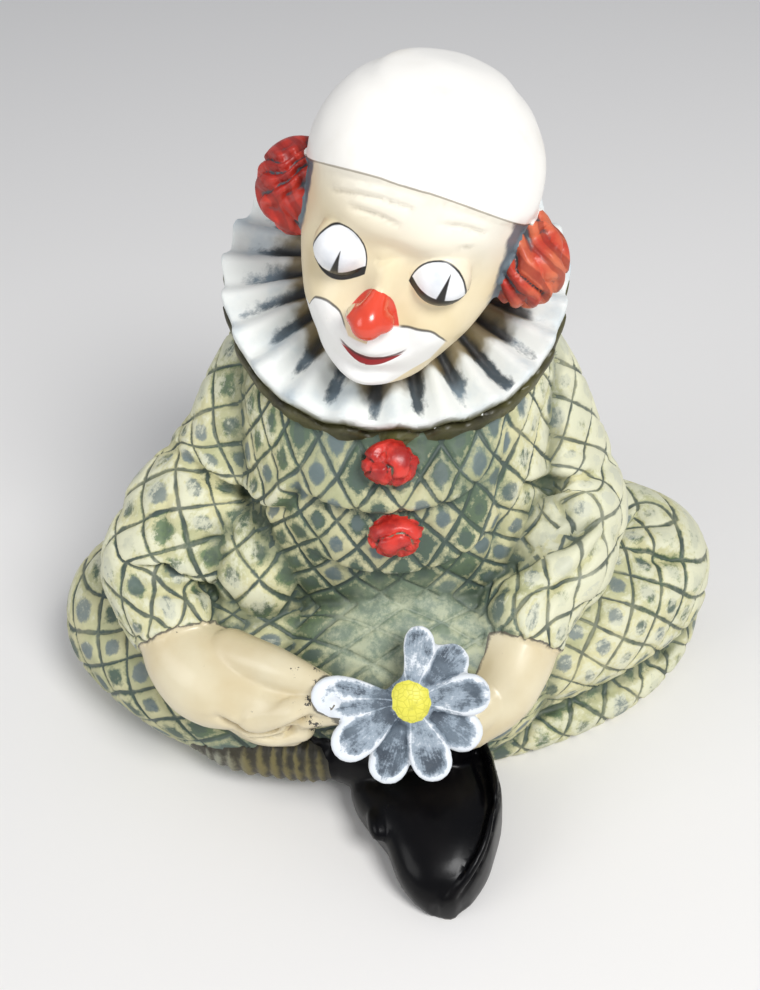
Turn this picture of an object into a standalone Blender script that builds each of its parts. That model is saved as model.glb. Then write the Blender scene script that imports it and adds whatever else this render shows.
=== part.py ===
"""A seated clown ornament, cast and painted as one solid.

The figure sits cross-legged and looks down at a daisy that it holds in both hands.
Pose, proportions and carving are shares of the figure's height, given in centimetres
on an original MODEL_HEIGHT tall. X runs to the figure's left hand, -Y is its front, Z is up.
"""
import math

import bmesh
import bpy
import numpy as np
from mathutils import Vector

# Driving dimensions, in metres
FIGURE_HEIGHT = 0.147
CLAY_GRAIN = 0.0010        # cell of the remesh that fuses the lumps of clay
TRIANGLE_BUDGET = 9000

# The height that the poses below are written for, and one centimetre of it
MODEL_HEIGHT = 14.7
CM = FIGURE_HEIGHT / MODEL_HEIGHT

NAME = "clown_figurine"
TURN = 2 * math.pi


# Curves and skins

def unit(vector):
    vector = np.asarray(vector, float)
    return vector / np.linalg.norm(vector)


def bell(x, centre, width):
    return np.exp(-((x - centre) / width) ** 2)


def ease(x, low, high):
    """0 below low and 1 above high, turning smoothly between them."""
    t = np.clip((x - low) / (high - low), 0, 1)
    return t * t * (3 - 2 * t)


def curve_through(points, count):
    """count rows evenly spaced along a smooth curve through rows of x, y, z and further values."""
    p = np.asarray(points, float)
    p = np.vstack([2 * p[0] - p[1], p, 2 * p[-1] - p[-2]])
    t = np.linspace(0, 1, 24, endpoint=False)[:, None]
    rows = []
    for a, b, c, d in zip(p, p[1:], p[2:], p[3:]):
        rows.append(0.5 * (2 * b + (c - a) * t + (2 * a - 5 * b + 4 * c - d) * t ** 2
                           + (3 * b - a - 3 * c + d) * t ** 3))
    rows = np.vstack(rows + [p[-2:-1]])
    reach = np.concatenate([[0], np.cumsum(np.linalg.norm(np.diff(rows[:, :3], axis=0), axis=1))])
    even = np.linspace(0, reach[-1], count)
    return np.stack([np.interp(even, reach, column) for column in rows.T], axis=1)


def table_at(table, keys):
    """A smooth reading of a table whose rows are a rising key and its values."""
    table = np.asarray(table, float)
    key, values = table[:, 0], table[:, 1:]
    slopes = np.gradient(values, key, axis=0)
    i = np.clip(np.searchsorted(key, keys, side="right") - 1, 0, len(key) - 2)
    span = (key[i + 1] - key[i])[:, None]
    t = ((np.asarray(keys) - key[i])[:, None]) / span
    return ((2 * t ** 3 - 3 * t ** 2 + 1) * values[i] + (t ** 3 - 2 * t ** 2 + t) * span * slopes[i]
            + (3 * t ** 2 - 2 * t ** 3) * values[i + 1] + (t ** 3 - t ** 2) * span * slopes[i + 1])


def sweep(points, sides, rings, relief=None, start=(0, 0, 1), squash=1.0, domes=(1.0, 1.0)):
    """Rings around a curve through rows of x, y, z and radius, with domed ends.

    relief(s, a) is the share added to the radius at s along the curve and angle a round it.
    squash flattens the section across the start direction.
    """
    path = curve_through(points, rings)
    centre, radius = path[:, :3], path[:, 3]
    along = np.gradient(centre, axis=0)
    along /= np.linalg.norm(along, axis=1)[:, None]
    up = np.asarray(start, float)
    angle = np.linspace(0, TURN, sides, endpoint=False)
    steps = np.linspace(0.2, 0.8, 3) * math.pi / 2
    made = []
    for k in range(rings):
        up = unit(up - along[k] * (up @ along[k]))
        side = np.cross(along[k], up)
        s = np.full(sides, k / (rings - 1))
        swell = 1 + (relief(s, angle) if relief else 0 * angle)
        ring = (radius[k] * swell)[:, None] * (np.cos(angle)[:, None] * up * squash
                                               + np.sin(angle)[:, None] * side)
        if k == 0:
            made += [centre[k] - along[k] * radius[k] * domes[0] * math.sin(e) + ring * math.cos(e)
                     for e in steps[::-1]]
        made.append(centre[k] + ring)
        if k == rings - 1:
            made += [centre[k] + along[k] * radius[k] * domes[1] * math.sin(e) + ring * math.cos(e)
                     for e in steps]
    return np.array(made)


def lump(name, rings, close_path=False):
    """A closed mesh over rings of points. The ends close on a pole, or on each other."""
    rings = np.asarray(rings, float)
    count, sides = rings.shape[:2]
    shape = bmesh.new()
    grid = [[shape.verts.new(p) for p in ring] for ring in rings]
    pairs = list(zip(grid, grid[1:])) + ([(grid[-1], grid[0])] if close_path else [])
    for low, high in pairs:
        for j in range(sides):
            k = (j + 1) % sides
            shape.faces.new((low[j], low[k], high[k], high[j]))
    if not close_path:
        for ring, points in ((grid[0], rings[0]), (grid[-1], rings[-1])):
            pole = shape.verts.new(points.mean(axis=0))
            for j in range(sides):
                shape.faces.new((ring[j], ring[(j + 1) % sides], pole))
    bmesh.ops.recalc_face_normals(shape, faces=shape.faces)
    mesh = bpy.data.meshes.new(name)
    shape.to_mesh(mesh)
    shape.free()
    made = bpy.data.objects.new(name, mesh)
    bpy.context.scene.collection.objects.link(made)
    return made


def ball(name, centre, radii, sides=24, relief=None, turn=None):
    """An ellipsoid of rings from bottom to top, with relief(theta, height) as for sweep."""
    height = np.linspace(-1, 1, sides + 2)[1:-1]
    height = np.sin(height * math.pi / 2)
    angle = np.linspace(0, TURN, sides, endpoint=False)
    a, h = np.meshgrid(angle, height)
    out = np.sqrt(1 - h ** 2)
    points = np.stack([out * np.cos(a), out * np.sin(a), h], axis=-1)
    if relief:
        points = points * (1 + relief(a, h))[..., None]
    points = points * np.asarray(radii, float)
    if turn is not None:
        points = points @ np.asarray(turn).T
    return lump(name, points + np.asarray(centre, float))


# The suit

TORSO = [  # height, middle x, middle y, half width, half depth
    (-0.3, 0.0, 1.0, 4.5, 3.4),
    (1.5, 0.0, 1.0, 4.9, 3.6),
    (3.0, 0.0, 0.9, 4.6, 3.7),
    (4.5, 0.0, 0.6, 4.0, 3.75),
    (6.0, 0.0, 0.3, 3.5, 3.65),
    (7.5, 0.0, 0.1, 3.3, 3.3),
    (8.7, 0.1, 0.1, 3.0, 2.4),
    (9.3, 0.15, 0.1, 2.2, 1.7),
    (9.7, 0.2, 0.1, 1.3, 1.0),
]
SHOULDER_TO_CUFF = {
    "right": [(-1.95, 0.4, 8.2, 1.40), (-2.7, 0.2, 7.1, 1.40), (-3.4, -0.1, 5.9, 1.40),
              (-4.5, -0.9, 4.8, 1.50), (-5.05, -1.6, 4.0, 1.40), (-4.95, -2.3, 3.75, 1.10),
              (-4.75, -2.7, 3.60, 0.92)],
    "left": [(2.2, 0.4, 8.1, 1.35), (2.75, 0.2, 7.0, 1.35), (3.2, -0.1, 5.8, 1.30),
             (3.5, -0.8, 4.8, 1.42), (3.3, -1.9, 4.3, 1.22), (2.8, -2.7, 3.95, 1.00),
             (2.5, -3.1, 3.80, 0.92)],
}
HIP_TO_ANKLE = {
    "right": [(-2.4, 1.6, 2.0, 2.0), (-4.2, 0.8, 1.95, 1.95), (-6.1, -0.1, 1.8, 1.75),
              (-5.1, -1.8, 1.6, 1.60), (-3.8, -2.8, 1.45, 1.40), (-2.4, -3.2, 1.35, 1.20)],
    "left": [(2.6, 1.6, 2.0, 2.0), (4.2, 0.9, 2.0, 1.95), (5.6, 0.2, 1.90, 1.78),
             (4.4, -1.25, 1.95, 1.60), (3.0, -2.1, 1.90, 1.42), (1.6, -2.7, 1.70, 1.20)],
}
LAP, LAP_RADII = (0.0, -2.9, 2.0), (3.2, 1.9, 2.5)
SLEEVE_LINING, LINING_RADII = (2.9, -1.3, 4.2), (1.3, 1.6, 1.7)
LEFT_HEM = [(1.3, -3.75, 0.40, 0.40), (3.0, -3.25, 0.45, 0.50), (4.9, -2.3, 0.50, 0.55),
            (6.2, -1.15, 0.60, 0.48), (6.9, -0.1, 0.90, 0.32)]
CHEST_BULGES = [(7.45, 0.10), (5.95, 0.12)]   # height at the middle, and how it rises sideways
CHEST_SAG = 0.16
SLEEVE_FOLDS = [(0.42, 0.06), (0.62, 0.05), (0.80, 0.05)]   # where a fold cuts in, and how deep
CREASES = [  # depth, half width, how much the cloth above bulges, and the places it passes
    (0.24, 0.12, 0.8, [(-4.3, -0.9, 6.7), (-3.7, -1.45, 6.4), (-3.2, -1.45, 6.2), (-2.4, -2.35, 6.4),
                       (-2.05, -2.65, 7.0), (-1.85, -2.6, 7.5)]),
    (0.16, 0.16, 0.0, [(-4.65, -1.5, 6.3), (-4.85, -1.8, 5.9), (-4.85, -2.3, 5.6), (-4.7, -2.5, 4.8)]),
    (0.16, 0.12, 0.5, [(-5.6, -2.4, 4.85), (-5.25, -2.65, 4.7), (-4.65, -2.7, 4.7), (-4.0, -2.2, 4.3)]),
    (0.18, 0.16, 0.0, [(-2.95, -1.7, 6.1), (-2.8, -2.3, 5.5), (-3.0, -2.7, 4.9)]),
    (0.18, 0.12, 0.7, [(2.45, -2.3, 6.6), (3.35, -1.4, 6.0), (4.1, -1.3, 6.05)]),
    (0.16, 0.12, 0.6, [(2.9, -3.4, 4.65), (3.35, -3.1, 4.8), (3.9, -2.7, 5.1), (4.3, -2.1, 5.2)]),
    (0.16, 0.16, 0.0, [(2.2, -2.1, 8.4), (2.1, -2.3, 7.6), (2.0, -2.6, 6.95), (2.0, -2.65, 6.05),
                       (1.85, -2.75, 5.0)]),
    (0.22, 0.14, 0.3, [(5.15, -0.75, 3.5), (5.5, -1.05, 3.4), (6.4, -0.9, 3.15)]),
    (0.20, 0.12, 0.9, [(-1.95, -2.7, 7.1), (-1.35, -3.0, 7.05), (-0.5, -3.25, 7.0), (0.5, -3.2, 7.05),
                       (1.1, -3.05, 7.1), (1.6, -2.8, 7.3)]),
    (0.16, 0.12, 0.8, [(-1.7, -2.85, 5.65), (-1.0, -3.15, 5.5), (0.0, -3.3, 5.45), (1.1, -3.1, 5.7),
                       (1.8, -2.75, 6.0)]),
    (0.14, 0.10, 0.2, [(1.7, -3.6, 1.0), (3.35, -3.2, 0.95), (4.9, -2.6, 0.95), (5.9, -1.85, 1.0),
                       (6.6, -1.2, 1.3)]),
]
CREASE_STEPS = 60
CREASE_REACH = 1.2         # how far from its line a crease still moves the cloth


def torso_rings(rings, sides):
    height = np.linspace(TORSO[0][0], TORSO[-1][0], rings)
    x, y, wide, deep = table_at(TORSO, height).T
    a, z = np.meshgrid(np.linspace(0, TURN, sides, endpoint=False), height)
    across = wide[:, None] * (1 + 0.02 * np.cos(3 * a)) * np.cos(a)
    front, back = ease(-np.sin(a), 0.0, 0.6), ease(np.sin(a), 0.2, 0.9)
    sag = 0
    for bulge, rise in CHEST_BULGES:
        sag = sag + CHEST_SAG * bell(z - rise * across ** 2, bulge, 0.42)
    sag = sag * front + 0.06 * back * np.sin(2.2 * z + 1.5 * np.abs(across))
    return np.stack([x[:, None] + across, y[:, None] + (deep[:, None] + sag) * np.sin(a), z], axis=-1)


def sleeve_relief(s, a):
    """Puffs between folds that lean round the arm."""
    made = 0.025 * np.sin(5 * a + 9 * s)
    for place, depth in SLEEVE_FOLDS:
        lean = place + 0.045 * np.sin(a + 1)
        made = made - depth * bell(s, lean, 0.03) + 0.6 * depth * bell(s, lean - 0.07, 0.06)
    return made


def leg_relief(s, a):
    return 0.025 * np.sin(3 * a + 7 * s) + 0.015 * np.sin(7 * a - 9 * s)


def crease_cut(points, normals):
    """How deep the cloth's creases cut at each point, below 0 where the cloth above them bulges."""
    made = np.zeros(len(points))
    for depth, width, bulge, places in CREASES:
        line = curve_through(places, CREASE_STEPS)
        near = np.flatnonzero(np.all((points > line.min(axis=0) - CREASE_REACH)
                                     & (points < line.max(axis=0) + CREASE_REACH), axis=1))
        apart = points[near, None, :] - line[None, :, :]
        deep = (apart * normals[near, None, :]).sum(axis=2)
        flat = np.sqrt(((apart ** 2).sum(axis=2) - deep ** 2).clip(0))
        best = flat.argmin(axis=1)
        rows = np.arange(len(near))
        gap, off, rise = flat[rows, best], np.abs(deep[rows, best]), apart[rows, best, 2]
        ends = np.minimum(best, CREASE_STEPS - 1 - best) / (CREASE_STEPS - 1)
        fade = (1 - ease(off, 0.4, 0.9)) * (0.25 + 0.75 * ease(ends, 0.0, 0.15))
        signed = np.where(rise > 0, gap, -gap)
        above = bell(signed, 2.6 * width, 1.8 * width)
        made[near] += depth * fade * (bell(signed, -0.02, width) - bulge * above)
    return made


def build_suit():
    made = [lump("torso", torso_rings(36, 48))]
    for side in ("right", "left"):
        made.append(lump("sleeve", sweep(SHOULDER_TO_CUFF[side], 32, 48, sleeve_relief, domes=(0.6, 0.15))))
        made.append(lump("leg", sweep(HIP_TO_ANKLE[side], 32, 48, leg_relief, squash=0.95)))
    made.append(ball("lap", LAP, LAP_RADII))
    for side in (-1, 1):
        made.append(ball("sleeve_lining", np.multiply(SLEEVE_LINING, (side, 1, 1)), LINING_RADII))
    made.append(lump("left_hem", sweep(LEFT_HEM, 12, 28)))
    return made


# Ruff and neck

RUFF_MIDDLE = np.array([0.15, 0.1, 10.1])
RUFF_TILT = math.radians(24)
RUFF_RADIUS = 3.42
RUFF_NECK = 1.0
RUFF_WALL = 0.44
RUFF_PLEATS = 23
PLEAT_WANDER = 0.7
COLLAR_DROP, COLLAR_RADIUS = 0.48, 3.45     # the plain collar below the white ruff
NECK = [(0.15, 0.2, 9.0, 1.3), (0.3, -0.2, 10.4, 1.15), (0.5, -0.7, 11.4, 1.2)]


def ruff_rings(around, across, radius, drop):
    """Sections through the pleated ruff, one for each angle round the neck."""
    angle = np.linspace(0, TURN, around, endpoint=False)
    t = np.linspace(0, 1, across)
    wave = np.cos(RUFF_PLEATS * angle + PLEAT_WANDER * np.sin(2 * angle + 1))[:, None]
    reach = RUFF_NECK + (radius - RUFF_NECK) * t[None, :]
    reach = reach + (0.035 * wave + 0.03 * np.sin(5 * angle)[:, None]) * t
    top = 0.30 - 0.55 * t ** 2 + 0.35 * t ** 4 + wave * (0.04 + 0.14 * t - 0.06 * t ** 4) - drop
    under = top - RUFF_WALL + 0.12 * t
    out = np.concatenate([reach, reach[:, ::-1]], axis=1)
    high = np.concatenate([top, under[:, ::-1]], axis=1)
    a = angle[:, None]
    flat = np.stack([out * np.cos(a), out * np.sin(a), high], axis=-1)
    tilt = np.array([[1, 0, 0],
                     [0, math.cos(RUFF_TILT), -math.sin(RUFF_TILT)],
                     [0, math.sin(RUFF_TILT), math.cos(RUFF_TILT)]])
    return flat @ tilt.T + RUFF_MIDDLE


def build_ruff():
    return [lump("ruff", ruff_rings(184, 10, RUFF_RADIUS, 0), close_path=True),
            lump("collar", ruff_rings(184, 10, COLLAR_RADIUS, COLLAR_DROP), close_path=True),
            lump("neck", sweep(NECK, 24, 8))]


# The head

HEAD_MIDDLE = np.array([0.62, -1.10, 12.55])
HEAD_YAW, HEAD_PITCH, HEAD_ROLL = (math.radians(d) for d in (-16, -2, 14))
HEAD = [  # height, half width, front, back
    (-3.05, 0.30, -1.75, -0.95),
    (-2.90, 0.75, -1.95, -0.40),
    (-2.50, 1.20, -2.06, 0.40),
    (-2.00, 1.55, -2.06, 1.00),
    (-1.30, 1.84, -2.00, 1.60),
    (-0.65, 1.95, -1.97, 2.00),
    (0.00, 1.98, -2.02, 2.18),
    (0.60, 1.98, -2.02, 2.18),
    (1.20, 1.76, -1.78, 1.92),
    (1.70, 1.26, -1.26, 1.42),
    (2.00, 0.62, -0.60, 0.76),
    (2.08, 0.10, -0.02, 0.18),
]
CAP_WALL = 0.07
CAP_EDGE = (0.9, -1.3, 0.35)   # its height at the brow, and how it falls towards the back
LID_MIDDLE, LID_RADII = (0.87, -1.60, -0.66), (0.51, 0.48, 0.50)
NOSE = [(0, -2.20, -1.16, 0.22), (0, -2.40, -1.38, 0.32), (0, -2.50, -1.50, 0.33)]
NOSTRIL, NOSTRIL_RADII = (0.22, -2.28, -1.49), (0.24, 0.30, 0.21)
TUFT, TUFT_RADII = (2.15, 0.0, -0.72), (0.80, 0.90, 0.92)
NAPE = [(-2.0, 0.4, -0.6, 0.60), (-1.4, 1.5, -0.8, 0.62), (0, 2.0, -0.9, 0.62), (1.4, 1.5, -0.8, 0.62),
        (2.0, 0.4, -0.6, 0.60)]


def head_frame():
    cy, sy = math.cos(HEAD_YAW), math.sin(HEAD_YAW)
    cp, sp = math.cos(HEAD_PITCH), math.sin(HEAD_PITCH)
    cr, sr = math.cos(HEAD_ROLL), math.sin(HEAD_ROLL)
    yaw = np.array([[cy, -sy, 0], [sy, cy, 0], [0, 0, 1]])
    roll = np.array([[cr, 0, sr], [0, 1, 0], [-sr, 0, cr]])
    pitch = np.array([[1, 0, 0], [0, cp, -sp], [0, sp, cp]])
    return yaw @ roll @ pitch


def on_head(points):
    return np.asarray(points, float) @ head_frame().T + HEAD_MIDDLE


def path_on_head(rows):
    """Rows of x, y, z and radius, carried from the head's own frame into the figure's."""
    rows = np.asarray(rows, float)
    return np.column_stack([on_head(rows[:, :3]), rows[:, 3]])


def smile(x):
    """The height of the mouth line, which rises to the clown's left."""
    return -2.25 + 0.2 * x + 0.5 * x * x


def face_relief(x, z):
    """How far the face stands forward of the plain head: brow, cheeks, muzzle and chin."""
    made = 0.12 * bell(z, 0.0, 0.28) * bell(np.abs(x), 0.75, 0.65)
    made = made - 0.14 * bell(z, -0.30, 0.22) * bell(x, 0, 0.30)
    for side in (-1, 1):
        made = made - 0.18 * bell(x, side * 0.86, 0.75) * bell(z, -0.66, 0.58)
        made = made + 0.18 * bell(x, side * 1.10, 0.5) * bell(z, -1.70, 0.42)
        made = made - 0.07 * bell(x, side * (0.55 - 0.35 * (z + 1.5)), 0.10) * bell(z, -1.75, 0.35)
    made = made + 0.24 * bell(x, 0, 0.26) * bell(z, -0.85, 0.6)
    made = made + 0.24 * bell(x, 0, 0.75) * bell(z, -2.05, 0.42)
    made = made - 0.12 * bell(z, smile(x), 0.06) * bell(x, 0, 0.75)
    made = made + 0.07 * bell(z, smile(x) - 0.12, 0.08) * bell(x, 0.1, 0.35)
    made = made - 0.08 * bell(z, -2.60, 0.12) * bell(x, 0, 0.5)
    return made + 0.16 * bell(x, 0, 0.5) * bell(z, -2.88, 0.24)


def head_points(height, angle, wall=0.0):
    """Points on the head at these heights and angles; the face is at angle -90 degrees."""
    half, front, back = np.moveaxis(
        table_at(HEAD, height.ravel()).reshape(height.shape + (3,)), -1, 0)
    x = (half + wall) * np.cos(angle)
    y = (front + back) / 2 + ((back - front) / 2 + wall) * np.sin(angle)
    return np.stack([x, y, height], axis=-1)


def head_rings(rings, sides):
    low, high = HEAD[0][0], HEAD[-1][0]
    t = np.linspace(0, 1, rings)
    height = low + (high - low) * (0.5 - 0.5 * np.cos(t * math.pi))
    a, z = np.meshgrid(np.linspace(0, TURN, sides, endpoint=False), height)
    points = head_points(z, a)
    facing = ease(-np.sin(a), 0.15, 0.6)
    points[..., 1] -= face_relief(points[..., 0], z) * facing
    return on_head(points)


def cap_rings(rings, sides):
    """The bald cap: a skin over the crown that ends in a small step, closed inside the head."""
    angle = np.linspace(0, TURN, sides, endpoint=False)
    top = HEAD[-1][0] - 0.002
    behind = 1 + np.sin(angle)
    edge = CAP_EDGE[0] + CAP_EDGE[1] * behind + CAP_EDGE[2] * behind ** 2
    t = np.sin(np.linspace(0, 1, rings) * math.pi / 2)[:, None]
    height = top + (edge - top) * (1 - np.cos(t * math.pi / 2))
    a = np.broadcast_to(angle, height.shape)
    outer = head_points(height, a, CAP_WALL)
    outer[..., 2] += CAP_WALL * np.clip(1 - (top - height), 0, 1)
    tuck = head_points(height[-1:], a[-1:], -0.3)
    return on_head(np.concatenate([outer, tuck]))


def curls(a, h):
    """Coiled locks, as ridges that wind over a ball."""
    return 0.08 * np.sin(4 * a + 5 * h) + 0.07 * np.sin(7 * h - 3 * a + 1.0)


def build_head():
    frame = head_frame()
    made = [lump("face", head_rings(48, 72)), lump("cap", cap_rings(20, 64))]
    made.append(lump("nose", sweep(path_on_head(NOSE), 20, 10)))
    for side in (-1, 1):
        flip = np.array([side, 1, 1])
        made.append(ball("nostril", on_head(NOSTRIL * flip), NOSTRIL_RADII, 16, turn=frame))
        made.append(ball("eyelid", on_head(LID_MIDDLE * flip), LID_RADII, turn=frame))
        made.append(ball("hair", on_head(TUFT * flip), TUFT_RADII, 28, curls, frame))
    made.append(lump("nape", sweep(path_on_head(NAPE), 20, 48, lambda s, a: 0.12 * np.sin(40 * s + 3 * a))))
    return made


# Hands, flower, buttons and shoe

RIGHT_HAND = [
    ("palm", [(-4.7, -2.7, 3.6, 0.82), (-4.5, -3.2, 3.3, 0.98), (-3.9, -3.8, 3.1, 1.02),
              (-3.0, -4.3, 3.2, 0.72)], 0.9),
    ("first_finger", [(-3.4, -4.3, 3.2, 0.52), (-2.4, -4.8, 3.3, 0.44), (-1.45, -5.1, 3.5, 0.30)], 1),
    ("second_finger", [(-3.8, -4.2, 2.75, 0.40), (-2.9, -4.75, 2.65, 0.36), (-2.2, -4.9, 2.8, 0.30)], 1),
    ("third_finger", [(-3.8, -4.0, 2.4, 0.38), (-3.1, -4.5, 2.2, 0.34), (-2.4, -4.7, 2.3, 0.30)], 1),
    ("thumb", [(-3.6, -3.6, 3.7, 0.50), (-2.6, -4.3, 3.9, 0.42), (-1.7, -4.8, 3.9, 0.28)], 1),
]
LEFT_HAND = [
    ("palm", [(2.45, -3.05, 3.75, 0.82), (2.2, -3.7, 3.3, 0.86), (1.8, -4.3, 2.8, 0.74),
              (1.2, -4.7, 2.4, 0.55)], 0.9),
    ("fingers", [(1.5, -4.6, 2.9, 0.5), (0.9, -5.0, 2.7, 0.42), (0.3, -5.1, 2.8, 0.35)], 1),
]
FLOWER_MIDDLE = np.array([0.0, -5.0, 3.60])
FLOWER_FACING = unit((0.02, -0.77, 0.64))
PETALS = 8
PETAL_STEP = math.radians(38)
FIRST_PETAL = math.radians(78)
PETAL_START, PETAL_LENGTH, PETAL_WIDTH = 0.25, 1.50, 0.43
PETAL_WALL, PETAL_RIM = 0.13, 0.16
LAST_PETAL_STRETCH = 0.24
FLOWER_EYE_RADII, FLOWER_EYE_RISE = (0.40, 0.40, 0.28), 0.08
STALK = [(*(FLOWER_MIDDLE - 0.3 * FLOWER_FACING), 0.30), (*(FLOWER_MIDDLE - 0.7 * FLOWER_FACING), 0.35),
         (0.7, -4.5, 2.8, 0.4), (0.9, -4.6, 1.6, 0.45)]
BUTTONS = [(-0.13, -3.15, 8.05), (-0.10, -3.45, 6.55)]
BUTTON_RADII = (0.58, 0.42, 0.50)
SHOE = [  # distance forwards, left edge, right edge, height
    (-3.6, -0.8, 1.0, 1.2),
    (-4.5, -1.2, 1.60, 1.45),
    (-5.2, -1.30, 1.72, 1.50),
    (-5.8, -1.05, 1.74, 1.50),
    (-6.4, -0.65, 1.60, 1.42),
    (-7.0, -0.45, 1.34, 1.25),
    (-7.4, -0.22, 1.16, 1.05),
    (-7.65, 0.10, 0.90, 0.70),
]
SOLE = 0.24
WELT = 0.10
RIGHT_HEM = [(-2.9, -3.05, 1.4, 1.22), (-2.0, -3.4, 1.3, 1.24), (-1.5, -3.6, 1.25, 1.15)]
ANKLE = [(-1.8, -3.8, 1.2, 0.85), (-0.4, -4.4, 1.1, 0.95)]


def petal_rings(bearing, length, lift, rings, sides):
    """One petal: a teardrop dish with a thick rolled rim, pointing outwards at this bearing."""
    facing = FLOWER_FACING
    across0 = unit(np.cross((0, 0, 1.0), facing))
    up0 = np.cross(facing, across0)
    out = math.cos(bearing) * across0 + math.sin(bearing) * up0
    across = np.cross(facing, out)
    made = []
    angle = np.linspace(0, TURN, sides, endpoint=False)
    for t in np.linspace(0.02, 1, rings):
        half = PETAL_WIDTH * (0.35 + 0.65 * math.sin(t * math.pi * 0.62) ** 1.2)
        half *= math.sqrt(max(1 - max(t - 0.72, 0) ** 2 / 0.285 ** 2, 0.0))
        half = max(half, 0.04)
        u = np.cos(angle)
        thick = PETAL_WALL * np.sin(angle)
        rim = PETAL_RIM * np.abs(u) ** 3 * ease(t, 0.1, 0.5) + 0.12 * ease(t, 0.75, 1.0)
        rise = lift * t ** 2 + thick + rim
        made.append(FLOWER_MIDDLE + out * (PETAL_START + (length - PETAL_START) * t)
                    + across * (half * u)[:, None] + facing * rise[:, None])
    return np.array(made)


def build_flower():
    made = []
    for k in range(PETALS):
        bearing = FIRST_PETAL - PETAL_STEP * k
        length = PETAL_LENGTH * (1 + LAST_PETAL_STRETCH * (k / (PETALS - 1)) ** 3)
        lift = 0.04 - 0.10 * math.sin(2.4 * k)
        made.append(lump("petal", petal_rings(bearing, length, lift, 12, 16)))
    across = unit(np.cross((0, 0, 1.0), FLOWER_FACING))
    frame = np.column_stack([across, np.cross(FLOWER_FACING, across), FLOWER_FACING])
    middle = FLOWER_MIDDLE + FLOWER_EYE_RISE * FLOWER_FACING
    made.append(ball("flower_eye", middle, FLOWER_EYE_RADII, 18, turn=frame))
    made.append(lump("stalk", sweep(STALK, 12, 8)))
    return made


def build_hands():
    return [lump(name, sweep(path, 20, 16, squash=squash)) for name, path, squash in RIGHT_HAND + LEFT_HAND]


def knot(a, h):
    return 0.09 * np.sin(5 * a + 3 * h) + 0.07 * np.sin(6 * h - 4 * a)


def build_buttons():
    return [ball("button", place, BUTTON_RADII, 20, knot) for place in BUTTONS]


def shoe_rings(rings, sides, left_of=None, grow=0.0):
    """Sections of the shoe from heel to toe. It lies on its outer side, its sole turned to +X.

    With left_of, only the layer from that far inside the right edge is made, for the sole.
    """
    table = [(-y, left, right, tall) for y, left, right, tall in SHOE]
    forward = np.linspace(table[0][0], table[-1][0], rings)
    left, right, tall = table_at(table, forward).T
    if left_of is not None:
        left, right = right - left_of, right + grow
    angle = np.linspace(0, TURN, sides, endpoint=False)
    round_x = np.sign(np.cos(angle)) * np.abs(np.cos(angle)) ** 0.8
    round_z = np.sign(np.sin(angle)) * np.abs(np.sin(angle)) ** 0.8
    made = []
    for k in range(rings):
        x = (left[k] + right[k]) / 2 + (right[k] - left[k]) / 2 * round_x
        z = tall[k] / 2 + (tall[k] / 2 + grow) * round_z
        y = -forward[k] - (grow if k == rings - 1 else 0)
        made.append(np.stack([x, np.full(sides, y), z], axis=-1))
    return np.array(made)


def build_shoe():
    upper = lump("shoe_upper", shoe_rings(24, 28))
    sole = lump("shoe_sole", shoe_rings(24, 20, left_of=SOLE, grow=WELT))
    hem = sweep(RIGHT_HEM, 60, 8, lambda s, a: 0.05 * np.sin(20 * a) * s, domes=(0.3, 0.2))
    return [upper, sole, lump("right_hem", hem), lump("ankle", sweep(ANKLE, 20, 8))]


# Casting: the lumps become one solid

def cast(lumps):
    """Fuses the lumps, thins the mesh to the budget and cuts the underside flat."""
    for other in lumps:
        other.select_set(True)
    bpy.context.view_layer.objects.active = lumps[0]
    bpy.ops.object.join()
    figure = bpy.context.view_layer.objects.active
    figure.name = figure.data.name = NAME
    for vertex in figure.data.vertices:
        vertex.co *= CM
    fuse = figure.modifiers.new("fuse", "REMESH")
    fuse.mode = "VOXEL"
    fuse.voxel_size = CLAY_GRAIN
    settle = figure.modifiers.new("settle", "SMOOTH")
    settle.factor, settle.iterations = 0.5, 2
    bake(figure)
    crease(figure)
    thin = figure.modifiers.new("thin", "DECIMATE")
    thin.ratio = TRIANGLE_BUDGET / sum(len(p.vertices) - 2 for p in figure.data.polygons)
    bake(figure)
    flatten_underside(figure)
    centre_footprint(figure)
    return figure


def bake(item):
    """Replaces the object's mesh by what its modifiers make of it."""
    graph = bpy.context.evaluated_depsgraph_get()
    mesh = bpy.data.meshes.new_from_object(item.evaluated_get(graph))
    item.modifiers.clear()
    item.data = mesh


def crease(figure):
    """Presses the creases of the cloth into the fused clay."""
    vertices = figure.data.vertices
    points, normals = np.empty(3 * len(vertices)), np.empty(3 * len(vertices))
    vertices.foreach_get("co", points)
    figure.data.vertex_normals.foreach_get("vector", normals)
    points, normals = points.reshape(-1, 3), normals.reshape(-1, 3)
    points -= normals * (crease_cut(points / CM, normals) * CM)[:, None]
    vertices.foreach_set("co", points.ravel())
    figure.data.update()


def flatten_underside(figure):
    shape = bmesh.new()
    shape.from_mesh(figure.data)
    cut = bmesh.ops.bisect_plane(shape, geom=shape.verts[:] + shape.edges[:] + shape.faces[:],
                                 dist=1e-6, plane_co=(0, 0, 0), plane_no=(0, 0, 1), clear_inner=True)
    rim = [e for e in cut["geom_cut"] if isinstance(e, bmesh.types.BMEdge)]
    bmesh.ops.holes_fill(shape, edges=rim, sides=0)
    bmesh.ops.triangulate(shape, faces=shape.faces)
    bmesh.ops.recalc_face_normals(shape, faces=shape.faces)
    shape.to_mesh(figure.data)
    shape.free()


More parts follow.
